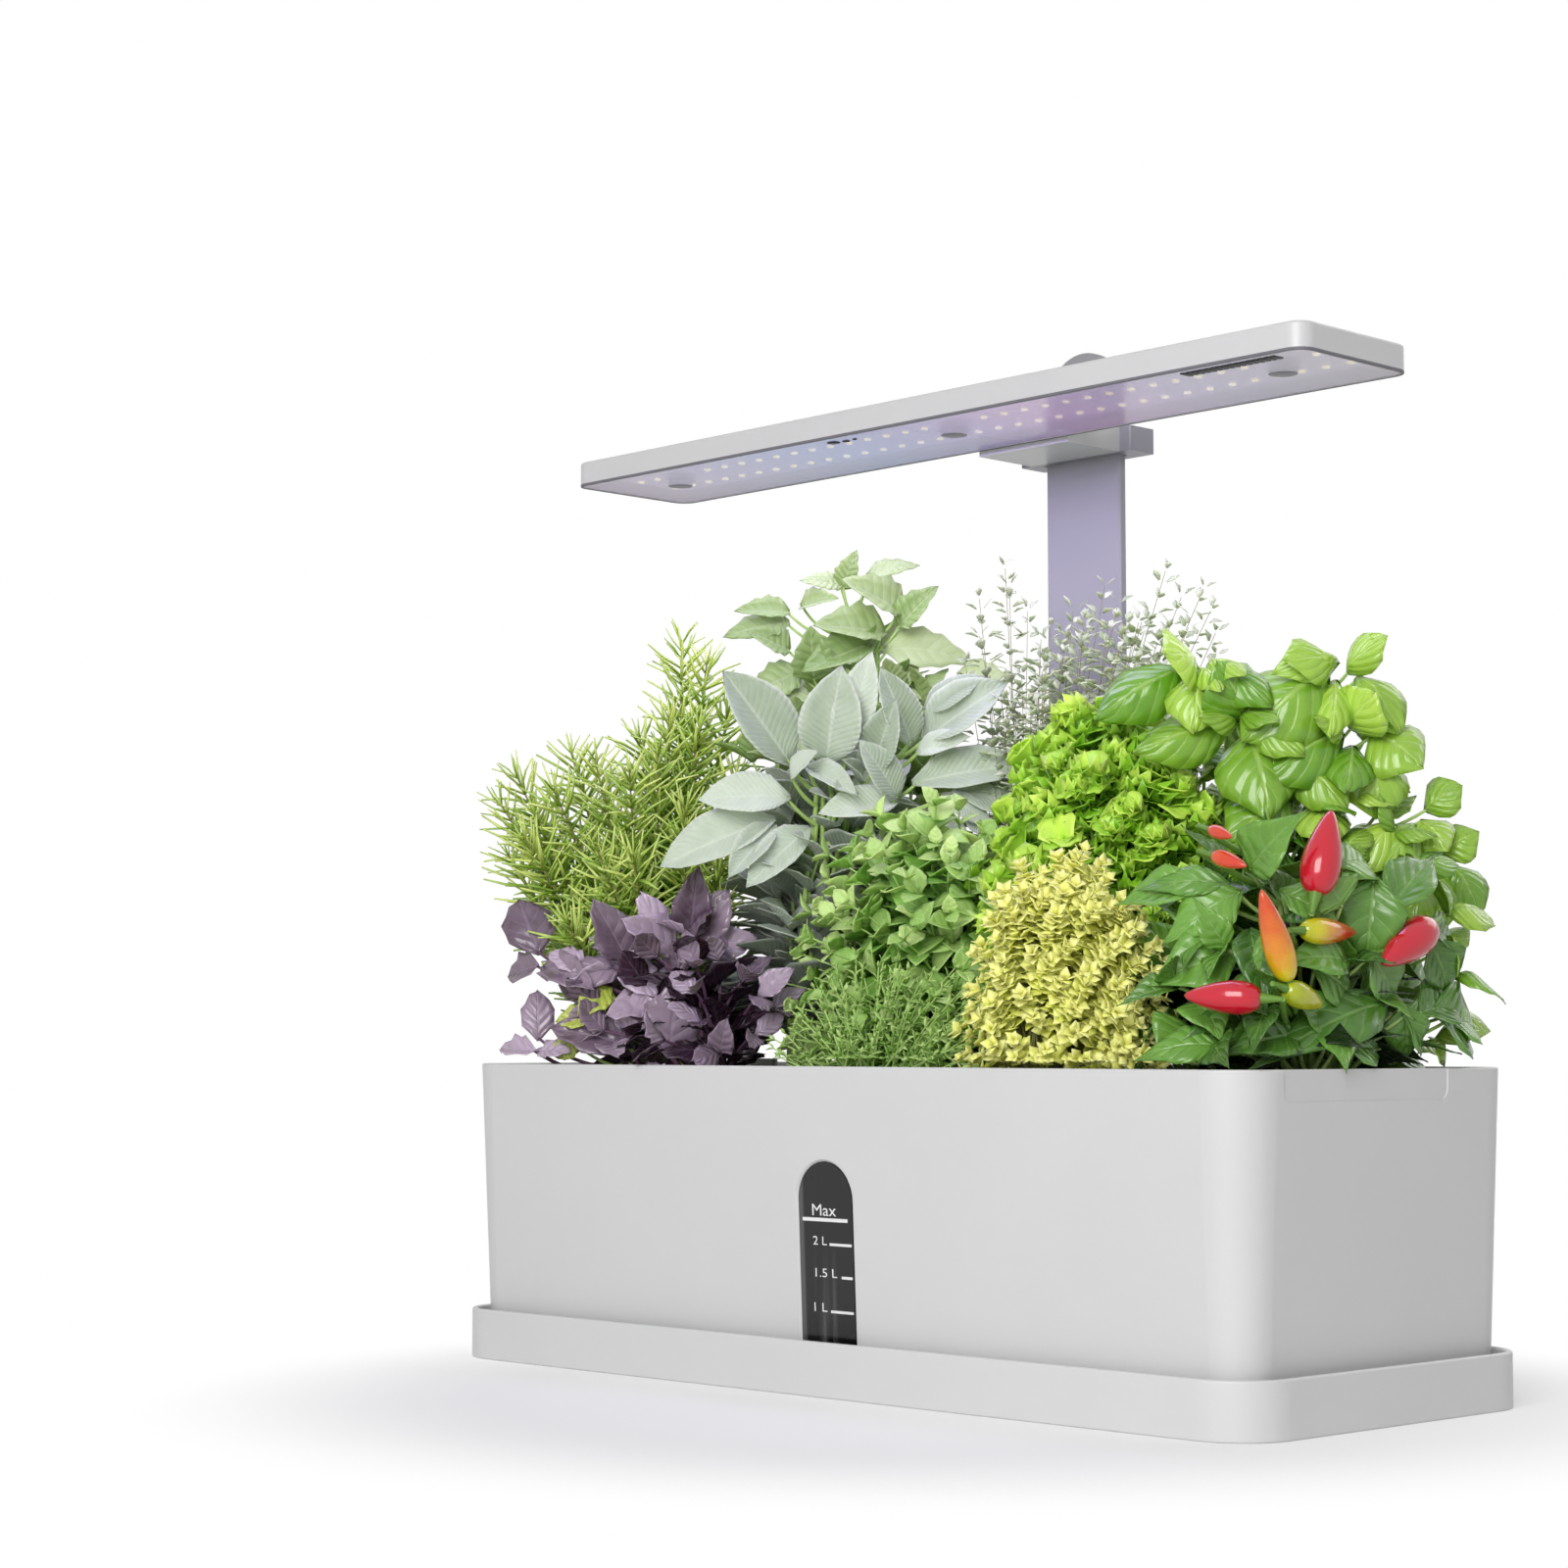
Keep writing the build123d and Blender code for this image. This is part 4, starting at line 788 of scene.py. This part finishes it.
# Purple basil: dark ruffled leaves with a few pale young ones
purple_table = (
    (-146, -70, 151, -155, -72, 172, 15), (-146, -70, 147, -161, -72, 145, 10),
    (-144, -70, 147, -120, -72, 142, 11), (-114, -54, 148, -112, -68, 166, 13),
    (-115, -54, 147, -120, -72, 146, 10), (-115, -54, 147, -100, -56, 140, 11),
    (-102, -39, 152, -103, -59, 162, 12), (-100, -36, 155, -91, -41, 177, 12),
    (-98, -34, 154, -87, -33, 171, 13), (-98, -34, 151, -83, -24, 158, 12),
    (-104, -42, 147, -94, -48, 130, 17), (-96, -31, 147, -83, -19, 144, 10),
    (-146, -70, 119, -145, -72, 135, 10), (-147, -70, 115, -165, -72, 117, 7),
    (-147, -70, 115, -132, -72, 117, 6), (-113, -53, 117, -128, -72, 124, 14),
    (-114, -54, 118, -103, -60, 132, 10), (-96, -50, 113, -86, -56, 133, 18),
    (-104, -42, 122, -98, -53, 113, 12), (-101, -38, 126, -86, -34, 119, 12),
    (-125, -64, 146, -135, -72, 152, 8), (-107, -45, 135, -107, -64, 132, 10),
    (-104, -42, 152, -99, -55, 168, 10), (-119, -58, 118, -108, -65, 113, 10),
)
lime_table = (
    (-119, -58, 139, -118, -72, 132, 9), (-123, -63, 128, -132, -72, 127, 7),
    (-131, -66, 120, -133, -70, 113, 7),
)
bm, stems = bmesh.new(), []
set_by_eye(bm, stems, "purple_basil", purple_table, purple_leaf, 0.8, (0.1, 1.0), (-108, -44, 130), 1.3,
           1.25)
habit = Habit(purple_leaf, 28, 0.6, 15, 0.5, 2, 66, 0.55, 1.1)
for tip in crown((-98, -46, 112), (54, 22, 46), 28, 0.0):
    shoot(bm, stems, root_of("purple_basil"), tip, habit, (0.0, 0.9))
plant("purple_basil", bm, stems, [purple_skin, purple_stem], "purple_foliage")
bm, stems = bmesh.new(), []
set_by_eye(bm, stems, "purple_basil", lime_table, purple_leaf, 0.7, (0.2, 1.0), (-112, -48, 126))
add_stems(bm, stems, 1)
finish_piece("purple_basil_young_leaves", bm, [lime_skin, green_stem], "pod_purple_basil", "gold_foliage")

# Thyme: a low fan of thin stems with tiny leaves
habit = Habit(thyme_leaf, 4.6, 0.4, 4.4, 0.8, 2, 52, 0.7, 0.55)
tips = crown((14, -46, 108), (54, 24, 42), 105, 0.05)
mound("thyme", 9, tips, habit, ((0.2, 1.1), 0.6, 0.4, 0.7), [thyme_skin, green_stem])

# Golden thyme: a dense mound of tiny yellow leaves
habit = Habit(thyme_leaf, 5, 0.8, 3.6, 0.36, 4, 68, 0.85, 0.4)
tips = crown((94, -46, 112), (42, 26, 70), 150, -0.05)
mound("golden_thyme", 9, tips, habit, ((0.7, 1.4), 0.8, 0.25, 0.6), [golden_skin, woody_stem], "gold_foliage")

# Mint: tall stems with toothed leaves in pairs
mint_table = (
    (-79, 37, 298, -61, 41, 303, 6), (-85, 30, 294, -86, 14, 297, 6), (-85, 30, 293, -75, 24, 303, 7),
    (-70, 47, 284, -74, 24, 294, 11), (-71, 46, 278, -56, 49, 291, 9), (-74, 42, 276, -82, 17, 278, 12),
    (-75, 42, 270, -50, 61, 270, 13), (-77, 39, 272, -86, 14, 262, 12), (-100, 16, 280, -112, -4, 278, 9),
    (-100, 16, 284, -107, -2, 285, 7), (-97, 19, 286, -80, 19, 288, 7), (-93, 22, 257, -86, 14, 274, 12),
    (-97, 19, 261, -103, 0, 254, 11), (-97, 19, 255, -95, 6, 244, 11), (-90, 26, 253, -74, 24, 257, 11),
    (-100, 16, 269, -103, 0, 275, 9), (-73, 44, 261, -59, 44, 252, 11), (-101, 15, 247, -102, 2, 238, 10),
    (-55, 62, 259, -36, 68, 258, 9), (-97, 19, 245, -86, 13, 230, 11),
)
bm, stems = bmesh.new(), []
set_by_eye(bm, stems, "mint", mint_table, mint_leaf, 0.7, (0.2, 0.9), (-84, 36, 240))
habit = Habit(mint_leaf, 33, 0.56, 18, 0.6, 2, 68, 0.6, 1.1)
side_tips = (
    (-106, 18, 238), (-112, 8, 226), (-98, 26, 250), (-94, 14, 238), (-116, 22, 230), (-104, 32, 258),
)
tips = [Vector(tip) * MM for tip in side_tips]
for tip in tips + crown((-80, 46, 130), (36, 27, 145), 46, -0.05):
    shoot(bm, stems, root_of("mint"), tip, habit, (0.0, 0.9), 0.6, 0.35)
plant("mint", bm, stems, [mint_skin, green_stem])

# Tall thyme: an airy cloud of fine stems in front of the post
habit = Habit(thyme_leaf, 5.2, 0.62, 5.6, 0.62, 2, 66, 0.8, 0.22, 0.45)
# Places along X and heights of the sprigs that stand out, all in one row
SPRIG_ROW = 36
sprigs = (
    (-6, 293), (-19, 283), (-4, 286), (5, 276), (16, 269), (27, 274), (42, 281), (48, 274), (70, 284),
    (77, 274), (87, 276), (90, 268), (59, 267), (66, 259), (80, 263), (92, 260), (-19, 269), (-26, 258),
    (-14, 254), (92, 252), (52, 266),
)
tips = [Vector((x, SPRIG_ROW, z)) * MM for x, z in sprigs]
tips += crown((38, 36, 200), (58, 22, 74), 86, 0.2) + crown((36, 36, 150), (62, 24, 90), 70, -0.1)
mound("tall_thyme", 9, tips, habit, ((0.1, 1.0), 0.55, 0.45, 0.5), [pale_thyme_skin, woody_stem])

# Basil: broad cupped leaves in rosettes
basil_table = (
    (105, 2, 244, 92, -19, 232, 13), (108, 5, 242, 117, -6, 229, 12), (108, 5, 245, 113, -8, 249, 15),
    (112, 9, 244, 132, 7, 237, 10), (111, 7, 245, 126, 1, 245, 6), (109, 6, 244, 122, -2, 239, 6),
    (119, 15, 226, 127, 2, 238, 14), (116, 12, 224, 106, -13, 219, 12), (120, 17, 222, 134, 9, 201, 17),
    (121, 17, 224, 139, 14, 221, 9), (119, 15, 226, 132, 7, 230, 6), (118, 14, 224, 123, -1, 228, 6),
    (139, 36, 242, 134, 9, 228, 19), (143, 42, 242, 155, 34, 250, 8), (142, 39, 246, 142, 18, 247, 8),
    (145, 44, 241, 161, 45, 229, 11), (141, 38, 240, 149, 26, 226, 9), (140, 38, 244, 145, 21, 249, 11),
    (142, 40, 221, 138, 14, 213, 14), (144, 42, 223, 154, 34, 230, 13), (148, 48, 222, 163, 50, 214, 15),
    (144, 43, 218, 152, 30, 207, 11), (148, 48, 215, 157, 40, 201, 14), (142, 41, 222, 148, 25, 226, 7),
    (132, 28, 211, 149, 27, 202, 11), (130, 27, 200, 129, 5, 192, 15), (136, 33, 198, 147, 25, 189, 11),
    (156, 61, 192, 160, 45, 183, 10), (157, 62, 193, 167, 61, 186, 10), (158, 64, 196, 168, 62, 203, 9),
    (161, 69, 182, 170, 72, 188, 9), (162, 71, 178, 174, 72, 167, 10), (160, 67, 178, 166, 61, 161, 10),
    (157, 62, 176, 163, 51, 161, 10), (152, 55, 192, 155, 36, 183, 10), (129, 25, 196, 132, 8, 190, 10),
)
bm, stems = bmesh.new(), []
set_by_eye(bm, stems, "basil", basil_table, basil_leaf, 0.8, (0.1, 0.9), (112, 40, 200), 1.7, 1.3)
habit = Habit(basil_leaf, 36, 0.66, 20, 0.45, 2, 70, 0.5, 1.3)
for tip in crown((112, 46, 122), (70, 26, 112), 70, -0.05):
    shoot(bm, stems, root_of("basil"), tip, habit, (0.0, 0.9), 0.55, 0.4)
plant("basil", bm, stems, [basil_skin, green_stem])


def seen_itself(tree):
    """One where the eye sees a surface itself, also in gloss and through glass, and zero for its light."""
    path = add(tree, "ShaderNodeLightPath").outputs
    seen = add(tree, "ShaderNodeMath", {0: path["Is Camera Ray"], 1: path["Is Transmission Ray"]},
               operation="MAXIMUM")
    seen = add(tree, "ShaderNodeMath", {0: seen.outputs[0], 1: path["Is Glossy Ray"]}, operation="MAXIMUM")
    return seen.outputs[0]


# Floor: pale and plain, with a soft shadow near the object, and white to the eye away from it
FADE_MIDDLE, FADE_START, FADE_END, FADE_LEAST = (0.036, -0.035, 0), 0.15, 0.28, 0.3
floor_mesh = bmesh.new()
bmesh.ops.create_grid(floor_mesh, x_segments=1, y_segments=1, size=6)
mesh = bpy.data.meshes.new("floor")
floor_mesh.to_mesh(mesh)
floor_mesh.free()
floor = bpy.data.objects.new("floor", mesh)
bpy.context.scene.collection.objects.link(floor)
material, tree, shader = skin("matt_white_floor", Roughness=0.9, Base_Color=linear("#F4F4F4"))
place = add(tree, "ShaderNodeTexCoord").outputs["Object"]
reach = add(tree, "ShaderNodeVectorMath", {0: place, 1: FADE_MIDDLE}, operation="DISTANCE")
fade = add(tree, "ShaderNodeMapRange",
           {"Value": reach.outputs["Value"], 1: FADE_START, 2: FADE_END, 3: FADE_LEAST, 4: 1.0},
           interpolation_type="SMOOTHSTEP")
share = add(tree, "ShaderNodeMath", {0: seen_itself(tree), 1: fade.outputs[0]}, operation="MULTIPLY")
glow = add(tree, "ShaderNodeEmission", {"Color": linear("#FFFFFF"), "Strength": 1.0})
blend = add(tree, "ShaderNodeMixShader", {0: share.outputs[0], 1: shader.outputs[0], 2: glow.outputs[0]})
tree.links.new(blend.outputs[0], tree.nodes["Material Output"].inputs["Surface"])
mesh.materials.append(material)

# World: plain soft light, white to the eye
SKY_LIGHT = 0.22
world = bpy.data.worlds.new("studio")
bpy.context.scene.world = world
world.use_nodes = True
tree = world.node_tree
sky = tree.nodes["Background"]
level = add(tree, "ShaderNodeMapRange", {"Value": seen_itself(tree), 3: SKY_LIGHT, 4: 1.0})
tree.links.new(level.outputs[0], sky.inputs["Strength"])
sky.inputs["Color"].default_value = linear("#FFFFFF")


def softbox(name, place, aim, size, watts, colour="#FFFFFF"):
    """A soft light with a square or oblong face that points at a place."""
    light = bpy.data.lights.new(name, "AREA")
    light.shape = "RECTANGLE"
    light.size, light.size_y = size
    light.energy = watts
    light.color = linear(colour)[:3]
    lamp = bpy.data.objects.new(name, light)
    lamp.location = place
    lamp.rotation_euler = (Vector(aim) - Vector(place)).to_track_quat("-Z", "Y").to_euler()
    bpy.context.scene.collection.objects.link(lamp)
    return lamp


# Key light at the front right, a weaker one behind, and the lamp's own lilac light, which moves with it
softbox("key", (0.82, -1.55, 0.85), (0, 0, 0.15), (1.0, 1.0), 26)
softbox("rear", (0.2, 1.6, 1.2), (0, 0, 0.2), (1.4, 1.0), 8)
panel = softbox("panel_glow", (0, LAMP_MIDDLE * MM, UNDER - 1 * MM), (0, LAMP_MIDDLE * MM, 0), (0.33, 0.05),
                0.25, "#D6C8FF")
panel.visible_camera = False
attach(panel, "lamp")

camera = bpy.data.objects.new("camera", bpy.data.cameras.new("camera"))
camera.data.lens = LENS
camera.data.sensor_width = SENSOR
right = Vector((cos(EYE_TURN), sin(EYE_TURN), 0))
camera.matrix_world = Matrix((right, right.cross(LOOK), -LOOK)).transposed().to_4x4()
camera.location = EYE
bpy.context.scene.collection.objects.link(camera)
bpy.context.scene.camera = camera
bpy.context.scene.view_settings.view_transform = "Standard"
